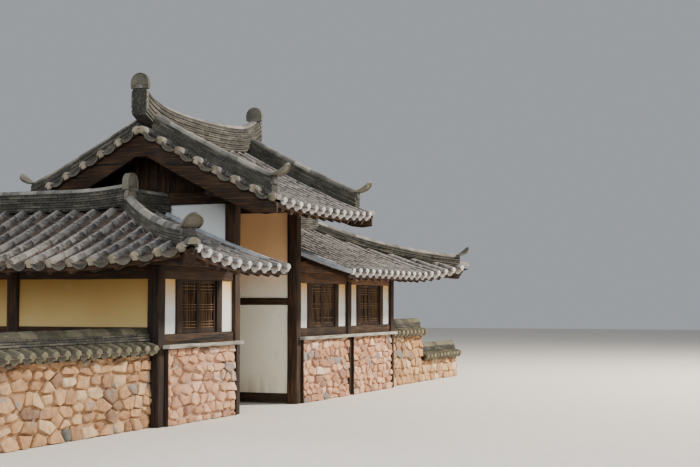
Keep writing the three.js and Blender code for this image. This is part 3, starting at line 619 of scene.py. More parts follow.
def block(box: Box, bevel: float = 0.0, cuts: tuple[int, int, int] = (0, 0, 0), segments: int = 2) -> Shape:
    """A box with rounded edges.

    Args:
        box: Its ranges of x, y and z.
        bevel: The width of the rounding, or none.
        cuts: How many cuts are made across each axis.
        segments: The steps of the rounding.

    Returns:
        The new mesh.
    """
    mesh = bmesh.new()
    ops.create_cube(mesh, size=1.0)
    ops.scale(mesh, vec=Vector([high - low for low, high in box]), verts=mesh.verts)
    moved(mesh, Matrix.Translation([(high + low) / 2 for low, high in box]))
    if bevel > 0:
        rounded(mesh, mesh.edges[:], bevel, segments)
    for axis, count in enumerate(cuts):
        low, high = box[axis]
        normal = Vector([float(i == axis) for i in range(3)])
        for step in range(1, count + 1):
            cut(mesh, normal * (low + (high - low) * step / (count + 1)), normal)
    return mesh


def moved(mesh: Shape, place: Matrix) -> None:
    """Moves a whole mesh."""
    ops.transform(mesh, matrix=place, verts=mesh.verts)


def bend(mesh: Shape, place: Callable[[Vector], Vector]) -> None:
    """Moves each vertex of a mesh to its place."""
    for vert in mesh.verts:
        vert.co = place(vert.co)


def roughen(mesh: Shape, depth: float, scale: float, seed: float) -> None:
    """Pushes each vertex a little, by a noise in space.

    Args:
        mesh: The mesh to change.
        depth: How far, in metres.
        scale: How many bumps a metre.
        seed: Where the noise starts.
    """
    shift = Vector((seed, 1.7 * seed, -seed))
    for vert in mesh.verts:
        vert.co += noise.noise_vector(vert.co * scale + shift) * depth


def patterned(mesh: Shape, name: str) -> Pattern:
    """Keeps a mesh as a pattern, and frees it.

    Args:
        mesh: The mesh.
        name: The pattern's name.

    Returns:
        The pattern.
    """
    made = bpy.data.meshes.new(name)
    mesh.to_mesh(made)
    mesh.free()
    return made


def copied(pattern: Pattern) -> Shape:
    """A new mesh like a pattern.

    Args:
        pattern: The pattern.

    Returns:
        The new mesh.
    """
    mesh = bmesh.new()
    mesh.from_mesh(pattern)
    return mesh


class Pile:
    """A mesh that gathers small shapes, each with its own tone."""

    def __init__(self) -> None:
        """Starts an empty mesh with the numbers that its finish reads."""
        self.mesh = bmesh.new()
        self.tone = self.mesh.verts.layers.float.new("tone")
        # edge: paleness per vertex, for wear at a tile's lower end and a painted highlight on a convex tile's
        # crown
        self.edge = self.mesh.verts.layers.float.new("edge")

    def lay(self, pattern: Pattern, place: Matrix, tone: float, worn: Sequence[float] | None = None) -> None:
        """Adds a copy of a pattern.

        Args:
            pattern: The mesh to copy.
            place: Where it goes.
            tone: From 0, dark, to 1, pale.
            worn: How pale each vertex is painted, from 0 to 1: worn lower ends, and on convex crowns a
                painted highlight.
        """
        copy = pattern.copy()
        copy.transform(place)
        start = len(self.mesh.verts)
        self.mesh.from_mesh(copy)
        bpy.data.meshes.remove(copy)
        self.mesh.verts.ensure_lookup_table()
        for i, vert in enumerate(self.mesh.verts[start:]):
            vert[self.tone] = tone
            vert[self.edge] = worn[i] if worn else 0.0

    def take(self, shape: Shape, tone: float = 0.5, finish: int = 0) -> None:
        """Adds a shape and frees it.

        Args:
            shape: The shape, in place.
            tone: From 0, dark, to 1, pale.
            finish: Which of the piece's materials it wears.
        """
        if finish:
            for face in shape.faces:
                face.material_index = finish
        mesh = patterned(shape, "scrap")
        self.lay(mesh, Matrix(), tone)
        bpy.data.meshes.remove(mesh)

    def pour(self, into: "Pile") -> None:
        """Moves everything into another pile.

        Args:
            into: The other pile.
        """
        mesh = patterned(self.mesh, "field")
        into.mesh.from_mesh(mesh)
        bpy.data.meshes.remove(mesh)


def piece(
    name: str,
    pile: Pile,
    finishes: Sequence[Material],
    nodes: Sequence[str] = (),
    smooth: float = 35.0,
) -> None:
    """Turns a pile into a piece of the house.

    Args:
        name: The piece's name.
        pile: Its shapes, whose mesh is freed.
        finishes: Its materials.
        nodes: The CAD nodes that it stands for.
        smooth: The angle in degrees past which an edge stays sharp.
    """
    ops.recalc_face_normals(pile.mesh, faces=pile.mesh.faces)
    data = patterned(pile.mesh, name)
    data.shade_smooth()
    data.set_sharp_from_angle(angle=math.radians(smooth))
    for finish in finishes:
        data.materials.append(finish)
    made = bpy.data.objects.new(name, data)
    bpy.context.scene.collection.objects.link(made)
    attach(made, "root")
    if nodes:
        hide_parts(*nodes)
    LOG.info("%s: %d faces", name, len(data.polygons))


# Roof surfaces


@dataclass(frozen=True)
class Curve:
    """How a roof climbs from its eave."""

    top: float
    slope: float
    hollow: float

    def climb(self, inward: float) -> float:
        """The height of the tile crowns, a level distance in from the eave."""
        return self.top + self.slope * inward + self.hollow * inward * inward


WING_CURVE = Curve(2.12, 0.3, 0.0512)
GATE_CURVE = Curve(2.97, 0.42, 0.035)
LEFT_CORNERS: tuple[Corner, ...] = ((LEFT_EAVE_X, -RUN, -1.0, -1.0),)
RIGHT_CORNERS: tuple[Corner, ...] = ((RIGHT_EAVE_X, -RUN, 1.0, -1.0), (RIGHT_EAVE_X, RUN, 1.0, 1.0))
CORNER_LIFT = 0.2
CORNER_FLARE = 0.24
HIP_REACH = 0.93 * RUN
VERGE_LIFT = 0.06


def toward_corners(x: float, y: float, z: float, corners: Sequence[Corner]) -> Vector:
    """A point of a wing roof, lifted and spread toward its hipped corners.

    Args:
        x: Its place along the street.
        y: Its place across it.
        z: Its height on the plain roof.
        corners: The corners, each with the ways that it points.

    Returns:
        The moved point.
    """
    point = Vector((x, y, z))
    for cx, cy, sx, sy in corners:
        near = max(0.0, 1.0 - max(abs(x - cx), abs(y - cy)) / RUN) ** 2
        point += Vector((sx * CORNER_FLARE, sy * CORNER_FLARE, CORNER_LIFT)) * near
    return point


def left_inward(x: float, y: float) -> float:
    """The level distance from the left roof's nearest eave."""
    wing = min(RUN - abs(x - LEFT_RIDGE_X), y + RUN)
    return max(wing, RUN - abs(y)) if x > LEFT_RIDGE_X else wing


def left_point(x: float, y: float) -> Vector:
    """A point of the left roof."""
    return toward_corners(x, y, WING_CURVE.climb(left_inward(x, y)), LEFT_CORNERS)


def right_point(x: float, y: float) -> Vector:
    """A point of the right roof."""
    inward = min(RUN - abs(y), RIGHT_EAVE_X - x)
    return toward_corners(x, y, WING_CURVE.climb(inward), RIGHT_CORNERS)


def gate_point(x: float, y: float) -> Vector:
    """A point of the gate's roof, which rises a little toward its verges."""
    return Vector((x, y, GATE_CURVE.climb(GATE_RUN - abs(y)) + VERGE_LIFT * (x / GATE_VERGE) ** 2))


@dataclass(frozen=True)
class Slope:
    """One face of a roof. Flat places are (u along the eave, v inward, h above the tile crowns)."""

    start: Plan
    inward: Plan
    corners: tuple[Corner, ...] = ()
    point: Surface | None = None

    def surface(self, u: float, v: float) -> Vector:
        """The point at the tile crowns over a flat place.

        Args:
            u: How far along the eave.
            v: How far in from it.

        Returns:
            The point.
        """
        x = self.start[0] + self.inward[1] * u + self.inward[0] * v
        y = self.start[1] - self.inward[0] * u + self.inward[1] * v
        if self.point:
            return self.point(x, y)
        return toward_corners(x, y, WING_CURVE.climb(v), self.corners)

    def place(self, flat: Vector) -> Vector:
        """The point in space of a flat place.

        Args:
            flat: The flat place.

        Returns:
            The point.
        """
        step = 0.01
        here = self.surface(flat.x, flat.y)
        along = self.surface(flat.x + step, flat.y) - here
        up = self.surface(flat.x, flat.y + step) - here
        return here + along.cross(up).normalized() * flat.z


LEFT_STREET_SLOPE = Slope((0.0, -RUN), (0.0, 1.0), LEFT_CORNERS)
LEFT_SIDE_SLOPE = Slope((LEFT_EAVE_X, 0.0), (1.0, 0.0), LEFT_CORNERS)
LEFT_COURT_SLOPE = Slope((COURT_X, 0.0), (-1.0, 0.0))
LEFT_CROSS_SLOPE = Slope((0.0, RUN), (0.0, -1.0))
RIGHT_STREET_SLOPE = Slope((0.0, -RUN), (0.0, 1.0), RIGHT_CORNERS)
RIGHT_YARD_SLOPE = Slope((0.0, RUN), (0.0, -1.0), RIGHT_CORNERS)
RIGHT_SIDE_SLOPE = Slope((RIGHT_EAVE_X, 0.0), (-1.0, 0.0), RIGHT_CORNERS)
GATE_STREET_SLOPE = Slope((0.0, -GATE_RUN), (0.0, 1.0), point=gate_point)
GATE_YARD_SLOPE = Slope((0.0, GATE_RUN), (0.0, -1.0), point=gate_point)


@dataclass(frozen=True)
class Ledger:
    """A line of points that bars and ridges follow. Flat places are (w across, s along from 0 to 1, h up)."""

    points: tuple[Vector, ...]

    def length(self) -> float:
        """The length of the line."""
        return sum((b - a).length for a, b in zip(self.points, self.points[1:]))

    def place(self, flat: Vector) -> Vector:
        """The point in space of a flat place.

        Args:
            flat: The flat place.

        Returns:
            The point.
        """
        last = len(self.points) - 1
        held = min(max(flat.y, 0.0), 1.0)
        along = held * last
        index = min(int(along), last - 1)
        first, second = self.points[index], self.points[index + 1]
        at = first.lerp(second, along - index) + (second - first) * (flat.y - held) * last
        ahead = self.heading(index).lerp(self.heading(index + 1), along - index)
        side = Vector((ahead.y, -ahead.x, 0.0)).normalized()
        return at + side * flat.x + upward(flat.z)

    def heading(self, index: int) -> Vector:
        """The way on at one of the points."""
        after = self.points[min(index + 1, len(self.points) - 1)]
        return (after - self.points[max(index - 1, 0)]).normalized()


def line_over(point: Surface, start: Plan, end: Plan, kick: float = 0.0) -> Ledger:
    """A line over a roof.

    Args:
        point: The roof's surface.
        start: Where the line starts.
        end: Where it ends.
        kick: How far its end turns up.

    Returns:
        The line.
    """
    steps = 16
    made = []
    for step in range(steps + 1):
        share = step / steps
        at = point(start[0] + share * (end[0] - start[0]), start[1] + share * (end[1] - start[1]))
        made.append(at + upward(kick * max(0.0, share * 4 - 3) ** 2))
    return Ledger(tuple(made))


# Tiles

ROW_PITCH = 0.295
TILE_LAP = 1.03
RIM = 0.47


@dataclass(frozen=True)
class TileSizes:
    """The sizes of the roof tiles."""

    radius: float = 0.063
    barrel: float = 0.29
    channel: float = 0.165
    width: float = 0.25
    thick: float = 0.018
    edge_level: float = -0.05
    sag: float = 0.043
    deck: float = 0.022
    lip: float = 0.045

    def lip_line(self, x: float) -> Range:
        """How round the lip is at a place across it, and the level of its top there."""
        part = max(1.0 - (x / (self.width * RIM)) ** 2, 0.0)
        return part, self.edge_level + 0.008 - self.sag * part


def barrel_pattern(radius: float, length: float, capped: bool = False, segments: int = 20) -> Pattern:
    """A convex tile along y from 0, its crown at z 0.

    Args:
        radius: Its radius at the lower end.
        length: Its length.
        capped: Whether mortar, the second material, closes its lower end.
        segments: The sides of the whole round.

    Returns:
        The pattern.
    """
    mesh = bmesh.new()
    ops.create_cone(
        mesh, cap_ends=True, segments=segments, radius1=radius, radius2=radius * 0.93, depth=length
    )
    moved(mesh, Matrix.Translation((0.0, length / 2, -radius)) @ quarter("X", -1.0))
    cut_off(mesh, upward(-radius), upward(-1.0))
    if capped:
        front = [face for face in mesh.faces if face.normal.y < -0.9]
        for thickness, bulge in ((0.06, 0.002), (0.07, -0.014), (0.07, -0.007)):
            ops.inset_region(mesh, faces=front, thickness=radius * thickness, depth=0.0)
            inner = list({vert for face in front for vert in face.verts})
            ops.translate(mesh, vec=Vector((0.0, bulge, 0.0)), verts=inner)
        for face in mesh.faces:
            middle = face.calc_center_median()
            inside = (middle.xz - Vector((0.0, -radius))).length < radius * 0.9
            if face.normal.y < -0.2 and middle.y < 0.004 and inside:
                face.material_index = 1
    return patterned(mesh, "barrel")


def channel_pattern(sizes: TileSizes) -> Pattern:
    """A concave tile along y from 0, with its lower end raised on the one below.

    Args:
        sizes: The sizes of the tiles.

    Returns:
        The pattern.
    """
    mesh = block((centred(sizes.width), (0.0, sizes.channel * 1.35), (-sizes.thick, 0.0)), cuts=(5, 0, 0))

    def sagging(at: Vector) -> Vector:
        """The tile's hollow, and its tilt.

        Args:
            at: A point of the flat tile.

        Returns:
            The moved point.
        """
        across = 2 * at.x / sizes.width
        tilt = 0.012 * (1.0 - at.y / sizes.channel)
        return at + upward(sizes.edge_level - sizes.sag * (1.0 - across * across) + tilt)

    bend(mesh, sagging)
    return patterned(mesh, "channel")


def lip_pattern(sizes: TileSizes) -> Pattern:
    """The hanging lip at the end of a row of concave tiles, in the third material.

    Args:
        sizes: The sizes of the tiles.

    Returns:
        The pattern.
    """
    half = sizes.width * RIM
    mesh = block(((-half, half), (0.0, 0.018), (-1.0, 0.0)), cuts=(9, 0, 3))

    def hanging(at: Vector) -> Vector:
        """A crescent under the tile's end, dished inside its rim.

        Args:
            at: A point of the flat lip.

        Returns:
            The moved point.
        """
        part, top = sizes.lip_line(at.x)
        drop = 0.012 + sizes.lip * math.sqrt(part)
        dish = 0.008 if -0.9 < at.z < -0.1 and abs(at.x) < half * 0.9 else 0.0
        return Vector((at.x, at.y + dish + 0.22 * drop * at.z, top + drop * at.z))

    bend(mesh, hanging)
    for face in mesh.faces:
        face.material_index = 2
    return patterned(mesh, "lip")


def front_wear_and_crown_highlight(pattern: Pattern, reach: float, crown: float = 0.0) -> list[float]:
    """How pale each vertex of a pattern is painted: its lower end most, as wear, and its crown by the given
    share, as a painted highlight.
    """
    return [1.0 if vert.co.y < reach else crown * (vert.co.z > -0.008) for vert in pattern.vertices]


def worn_rim(pattern: Pattern, sizes: TileSizes) -> list[float]:
    """How worn each vertex of a lip is: its lower rim most."""
    lines = [(vert.co.z, *sizes.lip_line(vert.co.x)) for vert in pattern.vertices]
    return [1.0 if z < top - sizes.lip * math.sqrt(part) else 0.15 for z, part, top in lines]


def rows_between(low: float, high: float, pitch: float = ROW_PITCH) -> list[float]:
    """Row places from low to high, spread evenly at about a pitch."""
    count = max(1, round((high - low) / pitch))
    return [low + (high - low) * i / count for i in range(count + 1)]


def mirrored(rows: Sequence[float]) -> list[float]:
    """The same places seen from the other side."""
    return [-x for x in reversed(rows)]


def side_trim(u: float, along: float, inward: float = 0.0) -> Trim:
    """A cut through a place on the eave, which takes what lies along and inward of it."""
    return ((u, 0.0), (along, inward))


def top_trim(v: float = RUN) -> Trim:
    """A cut that takes what lies above a level distance from the eave."""
    return ((0.0, v), (0.0, 1.0))


@dataclass
class Stock:
    """The piles that a roof's tiles go to, by kind."""

    barrels: Pile = field(default_factory=Pile)
    channels: Pile = field(default_factory=Pile)
    decks: Pile = field(default_factory=Pile)
    caps: Pile = field(default_factory=Pile)
    pale: Pile = field(default_factory=Pile)


@dataclass
class TiledSlope:
    """Rows of tile over one face of a roof, on a deck of boards."""

    slope: Slope
    rows: Sequence[float]
    ends: Range
    trims: Sequence[Trim]
    span: Range = (0.0, RUN)
    eave: bool = True
    pale: tuple[int, ...] = ()
    sizes: TileSizes = TileSizes()
    draw: random.Random = field(init=False)
    stock: Stock = field(init=False)

    def kept(self, u: float, v: float, margin: float) -> bool:
        """Whether a flat place lies within the trims, give or take a margin."""
        return all(
            ((u - px) * nx + (v - py) * ny) / math.hypot(nx, ny) <= margin
            for (px, py), (nx, ny) in self.trims
        )

    def pour(self, flat: Pile, into: Pile) -> None:
        """Trims a flat field, bends it over the roof and adds it to the roof's own pile.

        Args:
            flat: The flat field.
            into: The roof's pile.
        """
        for point, normal in self.trims:
            cut_off(flat.mesh, Vector((*point, 0.0)), Vector((*normal, 0.0)).normalized())
        bend(flat.mesh, self.slope.place)
        flat.pour(into)

    def courses(self, length: float) -> list[float]:
        """Where the courses of tile start, from the eave up."""
        first = self.span[0] + 0.006
        return [first + i * length for i in range(math.ceil((self.span[1] - first) / length))]

    def lay(self, draw: random.Random, stock: Stock) -> None:
        """Lays the convex rows, the concave rows, the eave's ends and the deck.

        Args:
            draw: The draw of tones and shifts.
            stock: The piles that they go to.
        """
        self.draw, self.stock = draw, stock
        self.lay_barrels()
        if self.eave:
            self.lay_ends()
        self.lay_channels()
        deck = Pile()
        inset = 0.03 if self.eave else 0.0
        box = (self.ends, (self.span[0] + inset, self.span[1]), (-SLAB, -SLAB + self.sizes.deck))
        deck.take(block(box, cuts=(14, 8, 0)), 0.4)
        self.pour(deck, stock.decks)

    def lay_barrels(self) -> None:
        """Lays the convex rows, apart from the tiles that end them at an eave."""
        draw = self.draw
        flat, pale = Pile(), Pile()
        tile = barrel_pattern(self.sizes.radius, self.sizes.barrel * TILE_LAP)
        # The crown share of 0.9 paints a highlight on each tile's crown; the lower end's paleness is wear.
        worn = front_wear_and_crown_highlight(tile, 0.01, 0.9)
        pale_places = {self.rows[i] for i in self.pale}
        for u in self.rows:
            row_tone = draw.uniform(-0.12, 0.12)
            into = pale if u in pale_places else flat
            for i, v in enumerate(self.courses(self.sizes.barrel)):
                capped = i == 0 and self.eave and into is flat
                if capped or not self.kept(u, v, 0.35):
                    continue
                lean = Euler((0.0, draw.uniform(-0.03, 0.03), draw.uniform(-0.012, 0.012)))
                at = (u + draw.uniform(-0.004, 0.004), v, -0.002 + draw.uniform(-0.004, 0.0))
                place = Matrix.Translation(at) @ lean.to_matrix().to_4x4()
                into.lay(tile, place, draw.uniform(0.15, 0.75) + row_tone, worn)
        self.pour(flat, self.stock.barrels)
        self.pour(pale, self.stock.pale)

    def lay_ends(self) -> None:
        """Lays the capped tiles along the eave, with mortar under them."""
        ends = Pile()
        eave = self.span[0]
        cap = barrel_pattern(self.sizes.radius * 1.04, self.sizes.barrel * TILE_LAP, capped=True)
        # The crown share of 0.9 paints a highlight on each capped tile's crown; the lower end's paleness is
        # wear.
        worn = front_wear_and_crown_highlight(cap, 0.02, 0.9)
        for u in self.rows:
            if self.kept(u, eave, 0.02):
                ends.lay(cap, Matrix.Translation((u, eave + 0.02, 0.002)), self.draw.uniform(0.2, 0.75), worn)
                skirt = (around(u, 0.086), (eave - 0.001, eave + 0.06), (-0.114, -0.03))
                ends.take(block(skirt, 0.022), 0.5, 1)
        self.pour(ends, self.stock.caps)

    def lay_channels(self) -> None:
        """Lays the concave rows and, at an eave, the lips that hang from them."""
        draw = self.draw
        flat, lips = Pile(), Pile()
        tile, lip = channel_pattern(self.sizes), lip_pattern(self.sizes)
        worn, rim = front_wear_and_crown_highlight(tile, 0.01), worn_rim(lip, self.sizes)
        for u in [(a + b) / 2 for a, b in zip(self.rows, self.rows[1:])]:
            row_tone = draw.uniform(-0.1, 0.1)
            for v in self.courses(self.sizes.channel):
                if self.kept(u, v, 0.3):
                    lean = Euler((draw.uniform(-0.01, 0.01), draw.uniform(-0.02, 0.02), 0.0))
                    at = Matrix.Translation((u, v, draw.uniform(-0.002, 0.002)))
                    place = at @ lean.to_matrix().to_4x4()
                    flat.lay(tile, place, draw.uniform(0.15, 0.8) + row_tone, worn)
            if self.eave and self.kept(u, self.span[0], 0.02):
                place = Matrix.Translation((u, self.span[0] + 0.001, 0.0))
                lips.lay(lip, place, draw.uniform(0.1, 0.6), rim)
        self.pour(flat, self.stock.channels)
        self.pour(lips, self.stock.caps)


@dataclass
class RidgeStack:
    """A ridge of stacked tile: a core, thin layers and a row of convex tiles on top."""

    line: Ledger
    width: float
    tall: float
    sink: float = 0.09
    layer: float = 0.034
    tile: float = 0.28
    cap: float = 0.3
    radius: float = 0.074
    joint: float = 0.009
    recess: float = 0.022

    def build(self, draw: random.Random, stacks: Pile, caps: Pile) -> None:
        """Stacks the ridge.

        Args:
            draw: The draw of tones and shifts.
            stacks: Where the layers and the core go.
            caps: Where the convex tiles go.
        """
        length = self.line.length()
        body = self.tall - self.radius * 0.85
        core = block((centred(self.width - 2 * self.recess), (0.0, 1.0), (-self.sink, body)), cuts=(0, 15, 0))
        bend(core, self.line.place)
        stacks.take(core, 0.05)
        count = max(1, round(length / self.tile))
        levels = int(body / self.layer)
        for level in range(-3, levels):
            top = body - (levels - 1 - level) * self.layer
            spread = self.width / 2 - 0.012 * (level % 2) - 0.006 * max(0, level - levels + 3)
            offset = 0.5 * (level % 2)
            for i in range(count + (1 if offset else 0)):
                start = max(0.0, (i - offset) / count) + 0.0005
                end = min(1.0, (i + 1 - offset) / count) - 0.0005
                us = around(draw.uniform(-0.004, 0.004), 2 * spread)
                slab = block((us, (start, end), (top - self.layer + self.joint, top)), cuts=(0, 1, 0))
                bend(slab, self.line.place)
                stacks.take(slab, draw.uniform(0.15, 0.65))
        tile = barrel_pattern(self.radius, 1.0, segments=16)
        count = max(1, round(length / self.cap))
        for i in range(count):
            shape = copied(tile)
            lift = self.tall + draw.uniform(-0.003, 0.003)
            bend(shape, lambda at: Vector((at.x, (i + 1.0 - at.y) / count, at.z + lift)))
            cut(shape, Vector((0.0, (i + 0.5) / count, 0.0)), Vector((0.0, 1.0, 0.0)))
            bend(shape, self.line.place)
            caps.take(shape, draw.uniform(0.35, 1.0))


def arch_tile(width: float, tall: float, thick: float) -> Shape:
    """An arched end tile with a raised rim. It stands on z 0 and faces -y.

    Args:
        width: Its width.
        tall: Its height.
        thick: Its thickness.

    Returns:
        The new mesh.
    """
    mesh = bmesh.new()
    ops.create_circle(mesh, cap_ends=True, segments=24, radius=width / 2)
    for vert in mesh.verts:
        y = vert.co.y
        vert.co.y = y + tall - width / 2 if y >= -1e-6 else (y + width / 2) * 0.15
    moved(mesh, quarter("X"))
    grown = ops.extrude_face_region(mesh, geom=mesh.faces[:])["geom"]
    back = [part for part in grown if isinstance(part, bmesh.types.BMVert)]
    ops.translate(mesh, vec=Vector((0.0, thick, 0.0)), verts=back)
    ops.recalc_face_normals(mesh, faces=mesh.faces)
    for depth, inset in ((0.018, 0.02), (-0.012, 0.035)):
        front = [face for face in mesh.faces if face.normal.y < -0.9 and len(face.verts) > 8]
        ops.inset_region(mesh, faces=front, thickness=inset, depth=0.0)
        inner = list({vert for face in front for vert in face.verts})
        ops.translate(mesh, vec=Vector((0.0, depth, 0.0)), verts=inner)
    moved(mesh, Matrix.Translation((0.0, -thick / 2, 0.0)))
    return mesh


@dataclass
class RoofBuilder:
    """Everything of tile on one roof, gathered and turned into pieces."""

    name: str
    finishes: Finishes
    seed: int
    stock: Stock = field(default_factory=Stock)
    side_caps: Pile = field(default_factory=Pile)
    stacks: Pile = field(default_factory=Pile)
    ridge_caps: Pile = field(default_factory=Pile)
    crests: Pile = field(default_factory=Pile)

    def __post_init__(self) -> None:
        """Starts the draw."""
        self.draw = random.Random(self.seed)

    def tiles(self, slope: TiledSlope, white_ends: bool = True) -> None:
        """Lays one face of the roof, with white or weathered mortar in the ends of its tiles."""
        slope.lay(self.draw, self.stock if white_ends else replace(self.stock, caps=self.side_caps))

    def ridge(self, line: Ledger, width: float = 0.25, tall: float = 0.23) -> None:
        """Stacks one ridge."""
        RidgeStack(line, width, tall).build(self.draw, self.stacks, self.ridge_caps)

    def crest(self, at: Vector, facing: float, width: float, tall: float, thick: float) -> None:
        """Stands an arched end tile on a ridge.

        Args:
            at: The middle of its foot.
            facing: The angle that it faces.
            width: Its width.
            tall: Its height.
            thick: Its thickness.
        """
        shape = arch_tile(width, tall, thick)
        turn = Matrix.Rotation(facing + math.pi / 2, 4, "Z")
        moved(shape, Matrix.Translation(at) @ turn)
        self.crests.take(shape, self.draw.uniform(0.5, 0.9))

    def horn(self, at: Vector, facing: float) -> None:
        """Ends a ridge with an arched tile that curls up and out, over a dab of mortar.

        Args:
            at: The top of the ridge's end.
            facing: The angle that it points to.
        """
        width, tall, lean = 0.25, 0.31, 60.0
        shape = arch_tile(width, tall, 0.03)
        for level in (0.08, 0.16, 0.24):
            cut(shape, upward(level), upward(1.0))

        def curled(at: Vector) -> Vector:
            """The tile bowed forward, its edges most."""
            share = at.z / tall
            return at - Vector((0.0, 0.16 * share * (1.0 - share) + 1.6 * at.x * at.x * at.z, 0.0))

        bend(shape, curled)
        place = Matrix.Translation(at) @ Matrix.Rotation(facing + math.pi / 2, 4, "Z")
        out = Matrix.Translation((0.0, 0.05, -0.01)) @ Matrix.Rotation(math.radians(lean), 4, "X")
        moved(shape, place @ out)
        self.crests.take(shape, self.draw.uniform(0.6, 0.95))
        dab = block(((-0.07, 0.07), (-0.02, 0.05), (-0.14, 0.0)), 0.03, (2, 1, 3))
        roughen(dab, 0.018, 9.0, at.x)
        moved(dab, place)
        self.stacks.take(dab, 0.4)

    def hip(self, point: Surface, apex: Plan, low: Plan, corner: Plan, facing: float) -> None:
        """Stacks a hip's ridge down to a horn, and lays single tiles from there to the corner.

        Args:
            point: The roof's surface.
            apex: Where the hip starts.
            low: Where its ridge ends.
            corner: Where its tiles end.
            facing: The angle that it points to.
        """
        line = line_over(point, apex, low)
        self.ridge(line, 0.2, 0.16)
        self.horn(line.points[-1] + upward(0.15), facing)
        line = line_over(point, low, corner)
        length = line.length()
        count = max(1, round(length / 0.26))
        for i in range(count):
            shape = copied(barrel_pattern(0.084, 1.0, capped=i == count - 1, segments=16))

            def flat(at: Vector) -> Vector:
                """A tile's flat place, with its cap unstretched."""
                back = at.y if at.y > 0.3 else at.y * length
                return Vector((at.x, (i + 1.0 - back) / count, at.z + 0.03))

            bend(shape, flat)
            bend(shape, line.place)
            self.ridge_caps.take(shape, self.draw.uniform(0.4, 0.9))

    def finish(self, roof_nodes: Sequence[str], ridge_node: str) -> None:
        """Makes the pieces that have any tiles.

        Args:
            roof_nodes: The CAD nodes of the roof.
            ridge_node: The CAD node of its ridges.
        """
        kit, stock = self.finishes, self.stock
        barrel, ridge, worn_lime = kit["barrel_tile"], kit["ridge_tile"], kit["weathered_mortar"]
        for suffix, pile, finishes, nodes in (
            ("barrel_tiles", stock.barrels, [barrel, kit["lime_mortar"]], roof_nodes),
            ("channel_tiles", stock.channels, [kit["channel_tile"]], ()),
            ("roof_boards", stock.decks, [kit.timber[0]], ()),
            ("eave_ends", stock.caps, [barrel, kit["lime_mortar"], kit["lip_tile"]], ()),
            ("verge_tiles", stock.pale, [kit["pale_barrel_tile"]], ()),
            ("side_eave_ends", self.side_caps, [barrel, worn_lime, ridge], ()),
            ("ridge_stacks", self.stacks, [ridge], [ridge_node]),
            ("ridge_caps", self.ridge_caps, [kit["cap_tile"], worn_lime], ()),
            ("ridge_ends", self.crests, [ridge], ()),
        ):
            if pile.mesh.verts:
                piece(f"{self.name}_{suffix}", pile, finishes, nodes)


@dataclass
class LeftRoof:
    """The left wing's roof: it turns back from the street, and a cross roof joins it to the gate."""

    finishes: Finishes
    kick: float = 0.06

    def build(self) -> None:
        """Lays the tiles and the ridges."""
        roof = RoofBuilder("left_wing", self.finishes, 11)
        end = GATE_LEFT - FACE
        rows = rows_between(LEFT_EAVE_X + 0.2, end - 0.08)
        trims = [side_trim(LEFT_EAVE_X, -1.0, 1.0), side_trim(end, 1.0), top_trim()]
        roof.tiles(TiledSlope(LEFT_STREET_SLOPE, rows, (LEFT_EAVE_X, end), trims, pale=(-1,)))
        rows = rows_between(-BACK_Y + 0.08, RUN - 0.2)
        trims = [side_trim(RUN, 1.0, 1.0), side_trim(-BACK_Y, -1.0), top_trim()]
        roof.tiles(TiledSlope(LEFT_SIDE_SLOPE, rows, (-BACK_Y, RUN), trims), white_ends=False)
        rows = rows_between(0.1, BACK_Y - 0.08)
        trims = [side_trim(RUN - 0.02, -1.0, -1.0), side_trim(BACK_Y, 1.0), top_trim()]
        span = (COURT_X - COURT_EAVE_X, RUN)
        roof.tiles(TiledSlope(LEFT_COURT_SLOPE, rows, (0.0, BACK_Y), trims, span), white_ends=False)
        valley = side_trim(-COURT_X - 0.02, 1.0, -1.0)
        for low, high, behind in ((-end, -LEFT_RIDGE_X, RUN), (-COURT_EAVE_X, -end, RUN - REAR - FACE)):
            rows = rows_between(low + 0.07, high - 0.05)
            trims = [valley, side_trim(low, -1.0), side_trim(high, 1.0), top_trim(behind)]
            roof.tiles(TiledSlope(LEFT_CROSS_SLOPE, rows, (low, high), trims, (0.0, behind), eave=False))
        apex = (LEFT_RIDGE_X, 0.0)
        main = line_over(left_point, (LEFT_RIDGE_X, BACK_Y - 0.002), apex, self.kick)
        roof.ridge(main)
        roof.ridge(line_over(left_point, (LEFT_RIDGE_X + 0.1, 0.0), (end - 0.001, 0.0)))
        low, corner = (LEFT_RIDGE_X - HIP_REACH, -HIP_REACH), (LEFT_EAVE_X + 0.03, -RUN + 0.03)
        roof.hip(left_point, apex, low, corner, math.radians(-135.0))
        top = main.points[-1]
        roof.crest(top + Vector((0.0, -0.03, 0.12)), -math.pi / 2, 0.27, 0.25, 0.1)
        roof.crest(top + Vector((0.0, -0.05, -0.03)), -math.pi / 2, 0.3, 0.21, 0.06)
        self.valley(roof)
        roof.finish(["left_wing_roof", "left_wing_back_roof"], "left_wing_ridges")

    def valley(self, roof: RoofBuilder) -> None:
        """Lays the concave tiles of the valley between the wing and the cross roof.

        Args:
            roof: The roof that gathers them.
        """
        sizes = TileSizes(width=0.3)
        tile = channel_pattern(sizes)
        start = COURT_EAVE_X - 0.03
        line = line_over(left_point, (start, start - LEFT_RIDGE_X), (LEFT_RIDGE_X + 0.08, 0.08))
        length = line.length()
        for i in range(int(length / sizes.channel)):
            shape = copied(tile)
            bend(shape, lambda at: Vector((at.x, (i * sizes.channel + at.y) / length, at.z + 0.035)))
            bend(shape, line.place)
            roof.stock.channels.take(shape, roof.draw.uniform(0.2, 0.8))


